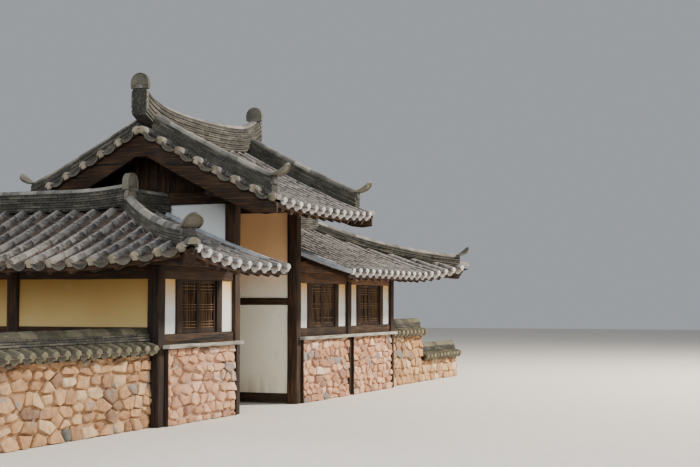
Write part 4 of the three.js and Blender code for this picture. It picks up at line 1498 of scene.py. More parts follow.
@dataclass
class RightRoof:
    """The right wing's hipped roof."""

    finishes: Finishes
    kick: float = 0.06

    def build(self) -> None:
        """Lays the tiles and the ridges."""
        roof = RoofBuilder("right_wing", self.finishes, 23)
        start, end = GATE_RIGHT + FACE, RIGHT_EAVE_X
        rows = rows_between(start + 0.08, end - 0.2)
        trims = [side_trim(end, 1.0, 1.0), side_trim(start, -1.0), top_trim()]
        roof.tiles(TiledSlope(RIGHT_STREET_SLOPE, rows, (start, end), trims, pale=(0,)))
        strip = block(((start, start + 0.03), (0.03, 0.93), (-0.105, -0.035)), 0.006, (0, 8, 0))
        roughen(strip, 0.006, 7.0, start)
        bend(strip, RIGHT_STREET_SLOPE.place)
        roof.stock.pale.take(strip, 0.7)
        trims = [side_trim(-end, -1.0, 1.0), side_trim(-start, 1.0), top_trim()]
        roof.tiles(TiledSlope(RIGHT_YARD_SLOPE, mirrored(rows), (-end, -start), trims))
        rows = rows_between(-RUN + 0.2, RUN - 0.2)
        trims = [side_trim(RUN, 1.0, 1.0), side_trim(-RUN, -1.0, 1.0)]
        roof.tiles(TiledSlope(RIGHT_SIDE_SLOPE, rows, (-RUN, RUN), trims))
        apex = (end - RUN, 0.0)
        roof.ridge(line_over(right_point, (start, 0.0), apex, self.kick))
        for way in (-1.0, 1.0):
            low, corner = (apex[0] + HIP_REACH, way * HIP_REACH), (end - 0.03, way * (RUN - 0.03))
            roof.hip(right_point, apex, low, corner, way * math.radians(45.0))
        roof.finish(["right_wing_roof"], "right_wing_ridges")


@dataclass
class GateRoof:
    """The gate's gabled roof, with a descending ridge and a row of cross tiles along each verge."""

    finishes: Finishes
    rows: int = 13
    reach: float = 1.62
    descending_end: float = 1.96
    rise: float = 0.04
    swoop: float = 0.17

    def build(self) -> None:
        """Lays the tiles and the ridges."""
        roof = RoofBuilder("gate", self.finishes, 37)
        sizes = TileSizes(width=0.235)
        rows = [-self.reach + 2 * self.reach * i / (self.rows - 1) for i in range(self.rows)]
        ends = (-GATE_VERGE + 0.02, GATE_VERGE - 0.02)
        deep = GATE_VERGE - DESCENDING_X - 0.06
        for way, slope in ((1.0, GATE_STREET_SLOPE), (-1.0, GATE_YARD_SLOPE)):
            roof.tiles(TiledSlope(slope, rows, ends, [top_trim(GATE_RUN)], (0.0, GATE_RUN), sizes=sizes))
            verge = Slope((-way * GATE_VERGE, 0.0), (way, 0.0), point=gate_point)
            for half in (-1.0, 1.0):
                places = sorted(half * y for y in rows_between(0.08, GATE_RUN - 0.08, 0.28))
                crossing = TiledSlope(verge, places, (places[0], places[-1]), [top_trim(deep)], (0.0, deep))
                roof.tiles(crossing, white_ends=False)
        self.ridges(roof)
        roof.finish(["gate_roof"], "gate_ridges")

    def ridges(self, roof: RoofBuilder) -> None:
        """Stacks the main ridge and the four that come down from it.

        Args:
            roof: The roof that gathers them.
        """
        end = GATE_VERGE - 0.002

        def main(x: float, y: float) -> Vector:
            """The main ridge rises toward its ends, and swoops up at them."""
            share = x / end
            return gate_point(x, y) + upward(self.rise * share**2 + self.swoop * share**6)

        top = line_over(main, (-end, 0.0), (end, 0.0))
        roof.ridge(top, 0.25, 0.35)
        for way, tip, facing in ((-1.0, top.points[0], math.pi), (1.0, top.points[-1], 0.0)):
            roof.crest(Vector((tip.x - way * 0.04, 0.0, tip.z + 0.27)), facing, 0.29, 0.24, 0.06)
            roof.crest(Vector((tip.x - way * 0.03, 0.0, tip.z - 0.02)), facing, 0.25, 0.34, 0.055)
            for side in (-1.0, 1.0):
                x = way * DESCENDING_X
                line = line_over(gate_point, (x, side * 0.08), (x, side * self.descending_end))
                roof.ridge(line, 0.21, 0.26)
                roof.horn(line.points[-1] + upward(0.24), side * math.pi / 2)


# Rafters


@dataclass
class RafterRun:
    """Round rafters under one eave, with the board along their ends and any hip beams."""

    name: str
    slope: Slope
    places: Sequence[float]
    board: Range
    hip: Callable[[float], float] = lambda along: 9.0
    beams: Sequence[Ledger] = ()
    start: float = 0.0
    radius: float = 0.0475
    length: float = 1.085
    first: float = 0.04
    hip_gap: float = 0.23
    least: float = 0.25

    def rafter(self, along: float, reach: float) -> Shape:
        """One rafter.

        Args:
            along: Its place along the eave.
            reach: How far in it goes.

        Returns:
            The new mesh, in place.
        """
        shape = bmesh.new()
        inner = self.radius * 0.97
        ops.create_cone(
            shape, cap_ends=True, segments=14, radius1=self.radius, radius2=inner, depth=reach - self.first
        )
        low = -SLAB - self.radius + 0.002
        middle = Matrix.Translation((along, self.start + (reach + self.first) / 2, low))
        moved(shape, middle @ quarter("X", -1.0))
        ends = [face for face in shape.faces if abs(face.normal.y) > 0.9]
        rounded(shape, list({edge for face in ends for edge in face.edges}), 0.005, 1)
        cut(shape, Vector((0.0, self.start + reach / 2, 0.0)), Vector((0.0, 1.0, 0.0)))
        roughen(shape, 0.004, 3.0, along)
        bend(shape, self.slope.place)
        return shape

    def build(self, finishes: Finishes) -> None:
        """Makes the run as one piece.

        Args:
            finishes: The house's finishes.
        """
        grain = 1 if self.slope.inward[0] == 0 else 0
        pile = Pile()
        draw = random.Random(self.name)
        for along in self.places:
            reach = min(self.length, self.hip(along) - self.hip_gap)
            if reach >= self.least:
                pile.take(self.rafter(along, reach), draw.uniform(0.3, 0.8), grain)
        ys = (self.start + 0.03, self.start + 0.06)
        board = block((self.board, ys, (-SLAB - 0.05, -SLAB + 0.004)), 0.004, (16, 0, 0))
        bend(board, self.slope.place)
        pile.take(board, 0.6, 1 - grain)
        for line in self.beams:
            beam = block((centred(0.15), (0.0, 1.0), (-SLAB - 0.19, -SLAB + 0.002)), 0.01, (0, 6, 0))
            for vert in beam.verts:
                if vert.co.y < 0.02 and vert.co.z < -SLAB - 0.1:
                    vert.co.y += 0.06
            bend(beam, line.place)
            pile.take(beam, 0.35, grain)
        piece(self.name, pile, finishes.timber, [self.name])


def spaced(start: float, end: float, pitch: float = 0.31) -> list[float]:
    """Places from one end toward the other at a pitch."""
    step = math.copysign(pitch, end - start)
    return [start + step * i for i in range(int(abs(end - start) / pitch) + 1)]


def hip_beam(point: Surface, corner: Corner) -> Ledger:
    """The line of the beam under a hip, from its outer end in."""
    cx, cy, sx, sy = corner
    return line_over(point, *((cx - sx * d, cy - sy * d) for d in (0.09, 1.125)))


def build_rafters(finishes: Finishes) -> None:
    """Makes the rafters of the three roofs.

    Args:
        finishes: The house's finishes.
    """
    right = spaced(GATE_RIGHT + 2 * POST, RIGHT_EAVE_X)
    right_board = (GATE_RIGHT + FACE, RIGHT_EAVE_X - 0.1)
    left = spaced(GATE_LEFT - 2 * POST, LEFT_EAVE_X)
    left_board = (LEFT_EAVE_X + 0.1, GATE_LEFT - FACE)
    side = [-y for y in spaced(BACK_Y - POST, -RUN)]
    court = spaced(BACK_Y - POST, COURT_EAVE_X - LEFT_RIDGE_X + POST / 2)
    runs = [
        RafterRun(
            "left_wing_rafters_street", LEFT_STREET_SLOPE, left, left_board,
            lambda x: x - LEFT_EAVE_X, [hip_beam(left_point, LEFT_CORNERS[0])],
        ),
        RafterRun(
            "left_wing_rafters_side", LEFT_SIDE_SLOPE, side, (-BACK_Y + GAP, RUN - 0.25), lambda u: RUN - u
        ),
        RafterRun(
            "left_wing_rafters_court", LEFT_COURT_SLOPE, court, (REAR + FACE, BACK_Y - GAP),
            start=COURT_X - COURT_EAVE_X, length=0.61,
        ),
        RafterRun(
            "right_wing_rafters_street", RIGHT_STREET_SLOPE, right, right_board,
            lambda x: RIGHT_EAVE_X - x, [hip_beam(right_point, RIGHT_CORNERS[0])],
        ),
        RafterRun(
            "right_wing_rafters_yard", RIGHT_YARD_SLOPE, [-x for x in right],
            (-right_board[1], -right_board[0]), lambda u: RIGHT_EAVE_X + u,
            [hip_beam(right_point, RIGHT_CORNERS[1])],
        ),
        RafterRun(
            "right_wing_rafters_side", RIGHT_SIDE_SLOPE, spaced(-1.24, 1.24), (-RUN + 0.25, RUN - 0.25),
            lambda y: RUN - abs(y),
        ),
    ]
    for name, slope in (("gate_rafters_street", GATE_STREET_SLOPE), ("gate_rafters_yard", GATE_YARD_SLOPE)):
        runs.append(RafterRun(name, slope, spaced(-1.5, 1.5, 0.3), centred(3.51), radius=0.055))
    for run in runs:
        run.build(finishes)


# Walls


@dataclass(frozen=True)
class WallLine:
    """A straight line of wall: u runs along it, and v from its middle to the outside."""

    along: Axis
    at: float
    out: int

    def box(self, us: Range, vs: Range, zs: Range) -> Box:
        """The box over ranges of u, v and height."""
        across = tuple(sorted(self.at + self.out * v for v in vs))
        return (us, across, zs) if self.along is Axis.X else (across, us, zs)

    def place(self, flat: Vector) -> Vector:
        """The point in space of (u, height, v)."""
        across = self.at + self.out * flat.z
        return Vector((flat.x, across, flat.y) if self.along is Axis.X else (across, flat.x, flat.y))


STREET = WallLine(Axis.X, FRONT, -1)
YARD = WallLine(Axis.X, REAR, 1)
LEFT_BACK = WallLine(Axis.X, YARD_END, 1)
DOORS = WallLine(Axis.X, 0.0, -1)
LEFT_SIDE = WallLine(Axis.Y, LEFT_END, -1)
LEFT_COURT = WallLine(Axis.Y, GATE_LEFT, 1)
RIGHT_SIDE = WallLine(Axis.Y, RIGHT_END, 1)
GATE_LEFT_SIDE = WallLine(Axis.Y, GATE_LEFT, -1)
GATE_RIGHT_SIDE = WallLine(Axis.Y, GATE_RIGHT, 1)


@dataclass
class Frame:
    """The squared timbers of one line of wall, as one piece."""

    name: str
    line: WallLine
    finishes: Finishes
    # warm: whether the timbers from the window head up wear the orange timber, painted warm bounce light
    warm: bool = False
    pile: Pile = field(default_factory=Pile)

    def __post_init__(self) -> None:
        """Starts the draw."""
        self.draw = random.Random(self.name)

    def timber(self, box: Box, grain: Axis, bevel: float = 0.009) -> None:
        """Adds a timber, a little uneven, with its grain along it.

        Args:
            box: Its ranges of x, y and z.
            grain: The way that it runs.
            bevel: The rounding of its edges.
        """
        low, high = box[grain.value]
        cuts = tuple(max(1, int((high - low) / 0.22)) if axis is grain else 0 for axis in Axis)
        shape = block(box, bevel, cuts)
        roughen(shape, 0.0045, 1.6, self.draw.uniform(0.0, 50.0))
        if low < 0.001 and grain is Axis.Z:
            for vert in shape.verts:
                vert.co.z = max(vert.co.z, 0.0)
        # Painted light: with warm set, timbers from the window head up take the orange timber, for warm
        # bounce light under the eave.
        bounce_light_offset = 3 if self.warm and box[2][0] >= WINDOW_TOP - 0.01 else 0
        self.pile.take(shape, self.draw.uniform(0.25, 0.7), grain.value + bounce_light_offset)

    def post(self, u: float, top: float = PLATE[0]) -> None:
        """Stands a post on the ground."""
        self.timber(self.line.box(around(u, POST), centred(POST), (0.0, top)), Axis.Z, 0.012)

    def plate(self, us: Range, zs: Range = PLATE) -> None:
        """Lays the timber that the rafters lie on."""
        self.timber(self.line.box(us, centred(POST), zs), self.line.along, 0.012)

    def tenon(self, u: float, way: int) -> None:
        """Shows the head beam's tenon in the outer face of an end post.

        Args:
            u: The post's place.
            way: Which way along the line that face looks.
        """
        us = around(u + way * HALF_POST, 0.016)
        box = self.line.box(us, centred(0.054), (WINDOW_TOP - 0.008, WINDOW_TOP + 0.053))
        self.pile.take(block(box, 0.003), 0.4, self.line.along.value)

    def rail(self, us: Range, zs: Range) -> None:
        """Lays a beam along the line."""
        self.timber(self.line.box(us, centred(BEAM), (max(zs[0], 0.005), zs[1])), self.line.along)

    def upright(self, us: Range, zs: Range) -> None:
        """Stands a jamb in the line."""
        self.timber(self.line.box(us, centred(BEAM), zs), Axis.Z)

    def plain_bay(self, middle: float) -> None:
        """A ground beam and a rail."""
        self.rail(around(middle, CLEAR), GROUND_BEAM)
        self.rail(around(middle, CLEAR), SIDE_RAIL)

    def window_bay(self, middle: float, grounded: bool = False) -> None:
        """A sill beam and the jambs of a window.

        Args:
            middle: The middle of the bay.
            grounded: Whether a ground beam shows too.
        """
        self.rail(around(middle, CLEAR), (LEDGE_TOP + 0.002, SILL_TOP))
        if grounded:
            self.rail(around(middle, CLEAR), GROUND_BEAM)
        for side in (-1, 1):
            self.upright(around(middle + side * 0.57, 0.158), (SILL_TOP - 0.001, WINDOW_TOP + 0.001))

    def door_bay(self, middle: float) -> None:
        """A doorway with its jambs, between short rails.

        Args:
            middle: The middle of the bay.
        """
        self.rail(around(middle, CLEAR), GROUND_BEAM)
        edge = DOOR_WIDTH / 2 + JAMB
        for side in (-1, 1):
            jamb = around(middle + side * (edge - JAMB / 2), JAMB - 0.002)
            self.upright(jamb, (GROUND_BEAM[1] - 0.001, WINDOW_TOP + 0.001))
            self.rail(tuple(sorted((middle + side * edge, middle + side * CLEAR / 2))), SIDE_RAIL)

    def top(self, ends: Range, plate_ends: Range | None = None) -> None:
        """The head beam and the plate."""
        self.rail(ends, HEAD_BEAM)
        self.plate(plate_ends or ends)

    def finish(self) -> None:
        """Makes the piece, which stands for the frame's solid."""
        kit = self.finishes
        piece(self.name, self.pile, kit.timber + kit.warm if self.warm else kit.timber, [self.name])


@dataclass
class Carpentry:
    """The timber frames of the wings and the gate."""

    finishes: Finishes

    def frame(self, name: str, line: WallLine, warm: bool = False) -> Frame:
        """Starts a frame."""
        return Frame(name, line, self.finishes, warm)

    def build(self) -> None:
        """Makes every frame."""
        self.left_wing()
        self.right_wing()
        self.cross_beam()
        for name, line in (("gate_left_frame", GATE_LEFT_SIDE), ("gate_right_frame", GATE_RIGHT_SIDE)):
            self.gate_side(self.frame(name, line))
        self.door_frame()
        self.roof_frame()
        for name, x in (("gate_bargeboard_left", -1.8), ("gate_bargeboard_right", 1.8)):
            self.bargeboard(name, x)

    def left_wing(self) -> None:
        """The frames of the left wing."""
        side = self.frame("left_wing_side_frame", LEFT_SIDE)
        for at in (FRONT, REAR, YARD_END):
            side.post(at)
        for at in (0.0, BACK_BAY):
            side.plain_bay(at)
        side.top((FRONT + HALF_POST, YARD_END - HALF_POST), (FRONT - BEAM_END, YARD_END + HALF_POST))
        side.tenon(FRONT, -1)
        side.tenon(YARD_END, 1)
        side.finish()
        street = self.frame("left_wing_street_frame", STREET)
        street.window_bay(LEFT_RIDGE_X)
        street.top((LEFT_END + FACE, GATE_LEFT - FACE))
        street.finish()
        back = self.frame("left_wing_back_frame", LEFT_BACK)
        back.post(GATE_LEFT)
        back.plain_bay(LEFT_RIDGE_X)
        back.top((LEFT_END + FACE, GATE_LEFT - HALF_POST), (LEFT_END + FACE, GATE_LEFT + HALF_POST))
        back.tenon(GATE_LEFT, 1)
        back.finish()
        court = self.frame("left_wing_court_frame", LEFT_COURT)
        court.door_bay(BACK_BAY)
        court.top((REAR + FACE, YARD_END - FACE))
        court.finish()

    def right_wing(self) -> None:
        """The frames of the right wing."""
        ends = (GATE_RIGHT + FACE, RIGHT_END - FACE)
        first, second = RIGHT_BAYS
        for name, line in (("right_wing_street_frame", STREET), ("right_wing_yard_frame", YARD)):
            # The street frame's upper timbers are painted with warm bounce light.
            wall = self.frame(name, line, warm=line is STREET)
            wall.post(RIGHT_MIDDLE, CROSS_BEAM[0] - GAP)
            if line is STREET:
                wall.window_bay(first)
                wall.window_bay(second)
            else:
                wall.door_bay(first)
                wall.window_bay(second, grounded=True)
            for us in ((ends[0], RIGHT_MIDDLE - 0.066), (RIGHT_MIDDLE + 0.066, ends[1])):
                wall.rail(us, HEAD_BEAM)
            wall.plate(ends)
            wall.finish()
        side = self.frame("right_wing_side_frame", RIGHT_SIDE)
        for at in (FRONT, REAR):
            side.post(at)
        side.plain_bay(0.0)
        side.top((FRONT + HALF_POST, REAR - HALF_POST), (FRONT - BEAM_END, REAR + BEAM_END))
        side.tenon(FRONT, -1)
        side.tenon(REAR, 1)
        side.finish()

    def cross_beam(self) -> None:
        """The beam across the right wing, whose newly sawn ends show; its sides wear the orange timber,
        painted warm bounce light.
        """
        name = "right_wing_cross_beam"
        reach = REAR + BEAM_END
        beam = block((around(RIGHT_MIDDLE, 0.13), (-reach, reach), CROSS_BEAM), 0.008, (0, 10, 0))
        roughen(beam, 0.003, 2.0, 4.0)
        for face in beam.faces:
            sawn = abs(face.normal.y) > 0.9 and abs(face.calc_center_median().y) > reach - 0.01
            face.material_index = 1 if sawn else 0
        pile = Pile()
        pile.take(beam, 0.6)
        piece(name, pile, [self.finishes.warm[1], self.finishes["sawn_end"]], [name])

    def gate_side(self, wall: Frame) -> None:
        """A side frame of the gate.

        Args:
            wall: The frame, not yet begun.
        """
        for at in (FRONT, 0.0, REAR):
            wall.post(at, TIE[0])
        for us in ((FRONT + HALF_POST, -HALF_POST), (HALF_POST, REAR - HALF_POST)):
            wall.rail(us, (0.04, 0.16))
            wall.rail(us, (1.545, 1.655))
        wall.plate((FRONT - BEAM_END, REAR + BEAM_END), TIE)
        wall.finish()

    def door_frame(self) -> None:
        """The threshold, and the jambs and heads that hold the leaves."""
        outer, inner = BAY / 2 - FACE, GATE_OPENING
        sill = self.frame("gate_threshold", DOORS)
        sill.rail((-outer, outer), (0.0, 0.17))
        for vert in sill.pile.mesh.verts:
            vert.co.z = 0.0 if vert.co.z < 0.02 else vert.co.z
        sill.finish()
        wall = self.frame("gate_door_frame", DOORS)
        high = TIE[0] - 0.0005
        for us in ((-outer, -inner), (inner, outer)):
            wall.upright(us, (0.1705, high))
        wall.rail((-inner, inner), (2.15, 2.29))
        wall.rail((-inner, inner), (2.88, high))
        wall.finish()

    def roof_frame(self) -> None:
        """Purlins out to the verges, and a boarded gable with its king post at each side."""
        wall = self.frame("gate_roof_frame", DOORS)
        along, foot, brow, boards = centred(3.554), TIE[1] + 0.001, 3.6, 14
        wall.plate(along, (3.64, 3.8))
        for at in (FRONT, REAR):
            wall.timber((along, around(at, 0.174), (3.072, 3.242)), Axis.X, 0.02)
        wide = (REAR - FRONT - 0.004) / boards
        for x in (GATE_LEFT, GATE_RIGHT):
            wall.timber((around(x, POST), centred(POST), (foot, 3.7)), Axis.Z)
            for board in range(boards):
                low = FRONT + 0.002 + board * wide
                shape = block((around(x, 0.05), (low, low + wide - 0.004), (foot, brow)), 0.004, (0, 0, 3))
                for vert in shape.verts:
                    share = (vert.co.z - TIE[1]) / (brow - TIE[1])
                    top = gate_point(x, vert.co.y).z - SLAB - 0.012
                    vert.co.z = foot + share * (top - TIE[1])
                wall.pile.take(shape, wall.draw.uniform(0.2, 0.7), Axis.Z.value)
        wall.finish()

    def bargeboard(self, name: str, x: float) -> None:
        """A curved board along a verge, which narrows at its ends.

        Args:
            name: Its name.
            x: Its middle.
        """
        tall, half = 0.289, 2.11
        board = block((around(x, 0.045), (-half, half), (-SLAB - tall, -SLAB)), 0.005, (0, 24, 0))
        for vert in board.verts:
            near = max(0.0, (abs(vert.co.y) - 1.63) / (half - 1.63))
            share = (-SLAB - vert.co.z) / tall
            roof = gate_point(x, vert.co.y).z - SLAB
            floor = left_point(vert.co.x, vert.co.y).z + 0.02 if x < 0 and vert.co.y > 1.0 else 0.0
            vert.co.z = max(roof - share * (tall - 0.16 * near * near), min(floor, roof - 0.01))
        pile = Pile()
        pile.take(board, 0.4)
        piece(name, pile, [self.finishes.timber[1]], [name])


@dataclass
class LatticeWindow:
    """Two fixed leaves of fine bars over dark boards."""

    name: str
    line: WallLine
    middle: float
    finishes: Finishes
    width: float = 0.979
    low: float = SILL_TOP + 0.001
    high: float = WINDOW_TOP - 0.001
    stile: float = 0.045
    rail: float = 0.06
    fine: float = 0.009
    bars: int = 7
    crossings: tuple[float, ...] = (0.02, 0.085, 0.15, 0.41, 0.47, 0.53, 0.8, 0.87, 0.94)

    def bar(self, pile: Pile, us: Range, zs: Range, vs: Range, tone: float, bevel: float = 0.0) -> None:
        """Adds a bar, with its grain along it.

        Args:
            pile: The window's pile.
            us: Its range along the wall.
            zs: Its range of height.
            vs: Its range outward.
            tone: Its tone.
            bevel: The rounding of its edges.
        """
        grain = Axis.Z if zs[1] - zs[0] > us[1] - us[0] else self.line.along
        pile.take(block(self.line.box(us, vs, zs), bevel, segments=1), tone, grain.value)

    def build(self) -> None:
        """Makes the window."""
        pile = Pile()
        draw = random.Random(self.name)
        box = self.line.box(around(self.middle, self.width), (-0.02, -0.002), (self.low, self.high))
        pile.take(block(box, 0.001), 0.0, 2)
        low, high = self.low + self.rail, self.high - self.stile
        for leaf in (-1, 0):
            start = self.middle + leaf * self.width / 2 + 0.002
            end = start + self.width / 2 - 0.004
            inner = (start + self.stile, end - self.stile)
            tone = draw.uniform(0.15, 0.4)
            for us in ((start, inner[0]), (inner[1], end)):
                self.bar(pile, us, (self.low, self.high), (-0.001, 0.031), tone, 0.004)
            for zs in ((self.low, low), (high, self.high)):
                self.bar(pile, inner, zs, (-0.001, 0.03), tone, 0.004)
            for i in range(self.bars):
                at = inner[0] + (inner[1] - inner[0]) * (i + 1) / (self.bars + 1)
                self.bar(pile, around(at, self.fine), (low, high), (0.002, 0.022), draw.uniform(0.8, 1.2))
            for share in self.crossings:
                at = low + (high - low) * share
                self.bar(pile, inner, around(at, self.fine), (0.006, 0.025), draw.uniform(1.0, 1.5))
        piece(self.name, pile, self.finishes.lattice, [self.name])


@dataclass
class PlankDoor:
    """A leaf of upright planks between battens."""

    name: str
    line: WallLine
    us: Range
    zs: Range
    finishes: Finishes
    planks: int = 5
    thick: float = 0.05
    relief: float = 0.012
    battens: tuple[float, ...] = (0.08, 0.36, 0.64, 0.92)

    def build(self) -> None:
        """Makes the leaf."""
        pile = Pile()
        draw = random.Random(self.name)
        (left, right), (low, high) = self.us, self.zs
        step = (right - left) / self.planks
        outer = self.thick / 2
        inner = outer - self.relief
        for i in range(self.planks):
            us = (left + i * step + 0.001, left + (i + 1) * step - 0.001)
            plank = block(self.line.box(us, (-inner, inner), self.zs), 0.003, (0, 0, 6))
            roughen(plank, 0.0015, 2.0, draw.uniform(0.0, 9.0))
            pile.take(plank, draw.uniform(0.25, 0.75), Axis.Z.value)
        for share in self.battens:
            for vs in ((-outer, -inner), (inner, outer)):
                zs = around(low + (high - low) * share, 0.085)
                batten = block(self.line.box((left + 0.012, right - 0.012), vs, zs), 0.003)
                pile.take(batten, draw.uniform(0.3, 0.7), self.line.along.value)
        piece(self.name, pile, self.finishes.door, [self.name])


# Rubble


@dataclass
class RubbleFace:
    """Fieldstones bedded in one face of a wall, cut from a scatter so that they fit each other."""

    line: WallLine
    us: Range
    zs: Range
    face: float
    course: float
    joint: float = 0.022
    depth: float = 0.075
    squeeze: float = 0.55
    inset: float = 0.004
    least: float = 0.0012

    def seeds(self, draw: random.Random) -> list[Vector]:
        """Where the stones' middles lie, on a face whose length is squeezed so that its stones aren't long.

        Args:
            draw: The draw of places.

        Returns:
            The middles.
        """
        made = []
        level = self.zs[0]
        while level < self.zs[1]:
            tall = self.course * draw.uniform(0.6, 1.35)
            at = self.us[0] * self.squeeze - draw.uniform(0.0, 0.12)
            while at < self.us[1] * self.squeeze + 0.06:
                wide = self.course * draw.uniform(0.5, 1.55)
                lift = draw.uniform(-0.3, 0.3) * tall
                made.append(Vector((at + wide / 2, level + tall / 2 + lift, 0.0)))
                if wide > 1.2 * self.course and draw.random() < 0.35:
                    made.append(Vector((at + wide, level + tall * draw.uniform(0.1, 0.9), 0.0)))
                at += wide
            level += tall
        return made

    def outline(self, mesh: Shape, seed: Vector, seeds: Sequence[Vector], joint: float) -> bool:
        """Cuts the wall's face against a stone's neighbours.

        Args:
            mesh: An empty mesh that becomes the outline.
            seed: The stone's middle.
            seeds: Every stone's middle.
            joint: The width of the mortar.

        Returns:
            Whether enough is left for a stone.
        """
        ops.create_grid(mesh, x_segments=1, y_segments=1, size=0.5)
        (left, right), (low, high) = self.us, self.zs
        size = Vector(((right - left - 2 * self.inset) * self.squeeze, high - low - 2 * self.inset, 1.0))
        middle = Vector((self.squeeze * (left + right) / 2, (low + high) / 2, 0.0))
        ops.scale(mesh, vec=size, verts=mesh.verts)
        moved(mesh, Matrix.Translation(middle))
        for other in seeds:
            between = other - seed
            if other is seed or between.length > 4.2 * self.course or not mesh.faces:
                continue
            way = between.normalized()
            half = math.hypot(way.x * self.squeeze, way.y) * joint / 2
            cut(mesh, seed + between / 2 - way * half, way, clear=True)
        if sum(face.calc_area() for face in mesh.faces) < self.least:
            return False
        ops.scale(mesh, vec=Vector((1.0 / self.squeeze, 1.0, 1.0)), verts=mesh.verts)
        ops.remove_doubles(mesh, verts=mesh.verts, dist=0.012)
        return bool(mesh.faces)

    def stone(self, seed: Vector, seeds: Sequence[Vector], draw: random.Random) -> Shape | None:
        """Cuts one stone, rounds it and beds it.

        Args:
            seed: Its middle.
            seeds: Every stone's middle.
            draw: The draw of its form.

        Returns:
            The stone, or nothing where its neighbours leave too little.
        """
        mesh = bmesh.new()
        if not self.outline(mesh, seed, seeds, self.joint * draw.uniform(0.3, 2.4)):
            mesh.free()
            return None
        rounded(mesh, mesh.verts[:], 0.24 * self.course, 3, "VERTICES", clamp=True)
        ops.remove_doubles(mesh, verts=mesh.verts, dist=0.004)
        shift = Vector((draw.uniform(0.0, 40.0), 0.0, 0.0))
        for vert in mesh.verts:
            wobble = noise.noise_vector(vert.co * 12.0 + shift) * 0.02
            vert.co += Vector((wobble.x, wobble.y, 0.0))
        grown = ops.extrude_face_region(mesh, geom=mesh.faces[:])["geom"]
        lifted = [part for part in grown if isinstance(part, bmesh.types.BMVert)]
        ops.translate(mesh, vec=upward(self.depth), verts=lifted)
        tops = [part for part in grown if isinstance(part, bmesh.types.BMFace)]
        rim = list({edge for face in tops for edge in face.edges})
        rounded(mesh, rim, draw.uniform(0.022, 0.045), 3, clamp=True)
        front = self.depth * 0.9
        flat = [face for face in mesh.faces if face.normal.z > 0.99 and face.calc_center_median().z > front]
        ops.poke(mesh, faces=flat, offset=draw.uniform(0.004, 0.016))
        self.bed(mesh, Vector((seed.x / self.squeeze, seed.y, 0.0)), shift, draw)
        ops.triangulate(mesh, faces=[face for face in mesh.faces if len(face.verts) > 4])
        return mesh

    def bed(self, mesh: Shape, middle: Vector, shift: Vector, draw: random.Random) -> None:
        """Sinks, tilts and roughens a stone within the wall's face.

        Args:
            mesh: The stone.
            middle: Its middle.
            shift: Where its noise starts.
            draw: The draw of its place.
        """
        sink = draw.uniform(0.0, 0.03)
        tilt = Vector((draw.uniform(-0.1, 0.1), draw.uniform(-0.05, 0.3), 0.0))
        for vert in mesh.verts:
            high = vert.co.z / self.depth
            vert.co.z -= sink + high * (tilt.dot(vert.co - middle))
            vert.co += noise.noise_vector(vert.co * 14.0 + shift) * 0.017 * high
            vert.co.x = min(max(vert.co.x, self.us[0] + self.inset), self.us[1] - self.inset)
            vert.co.y = min(max(vert.co.y, self.zs[0] + self.inset), self.zs[1] - self.inset)
            vert.co.z = min(vert.co.z, self.depth)

    def build(self, pile: Pile, draw: random.Random) -> None:
        """Sets every stone.

        Args:
            pile: The wall's pile.
            draw: The draw of stones and tones.
        """
        seeds = self.seeds(draw)
        back = self.face - self.depth
        for seed in seeds:
            stone = self.stone(seed, seeds, draw)
            dark = draw.uniform(0.0, 0.07) if draw.random() < 0.05 else None
            tone = min(max(draw.gauss(0.5, 0.22), 0.12), 1.0) if dark is None else dark
            if stone:
                bend(stone, lambda at: self.line.place(at + upward(back)))
                ops.recalc_face_normals(stone, faces=stone.faces)
                pile.take(stone, tone)


@dataclass
class Wainscot:
    """A rubble wall under a window, with a thin board on top."""

    name: str
    middle: float
    finishes: Finishes
    out: float = 0.135
    inside: float = 0.06
    ledge_out: float = 0.19
    ledge_thick: float = 0.05
    ledge_lap: float = 0.075
    end_board: float = 0.024
    course: float = 0.135

    def build(self) -> None:
        """Makes the mortar and the stones, then the boards."""
        us = around(self.middle, CLEAR - 4 * GAP)
        under = LEDGE_TOP - self.ledge_thick
        stones = (us[0] + self.end_board, us[1] - self.end_board)
        draw = random.Random(self.name)
        box = STREET.box((us[0] + 0.02, us[1] - 0.02), (-self.inside, self.out - 0.05), (0.0, under))
        core = block(box, cuts=(36, 0, 20))
        for vert in core.verts:
            if vert.co.y < FRONT - 0.07:
                vert.co.y += 0.014 * noise.noise(vert.co * 11.0)
        pile = Pile()
        pile.take(core, 0.5, 1)
        RubbleFace(STREET, stones, (0.002, under - 0.004), self.out, self.course).build(pile, draw)
        kit = self.finishes
        piece(self.name, pile, [kit["pink_fieldstone"], kit["pinkish_mortar"]], [self.name], 50.0)
        pile = Pile()
        for ends in ((us[0] + 0.001, stones[0] - 0.002), (stones[1] + 0.002, us[1] - 0.001)):
            box = STREET.box(ends, (HALF_POST - 0.03, self.out - 0.012), (0.001, under - 0.002))
            pile.take(block(box, 0.004, (0, 0, 4)), 0.4)
        piece(f"{self.name}_end_boards", pile, [kit.timber[2]])
        pile = Pile()
        joint = draw.uniform(-0.3, 0.3) + self.middle
        for ends in ((us[0] - self.ledge_lap, joint - 0.001), (joint + 0.001, us[1] + self.ledge_lap)):
            box = STREET.box(ends, (HALF_POST + 0.002, self.ledge_out), (under + 0.002, LEDGE_TOP))
            shape = block(box, 0.005, (6, 0, 0))
            roughen(shape, 0.003, 3.0, draw.uniform(0.0, 20.0))
            pile.take(shape, draw.uniform(0.4, 0.8))
        pile.take(block(STREET.box(us, (-self.inside, HALF_POST + 0.01), (under + 0.004, LEDGE_TOP - 0.002))))
        piece(f"{self.name}_ledge", pile, [kit["ledge_boards"]])


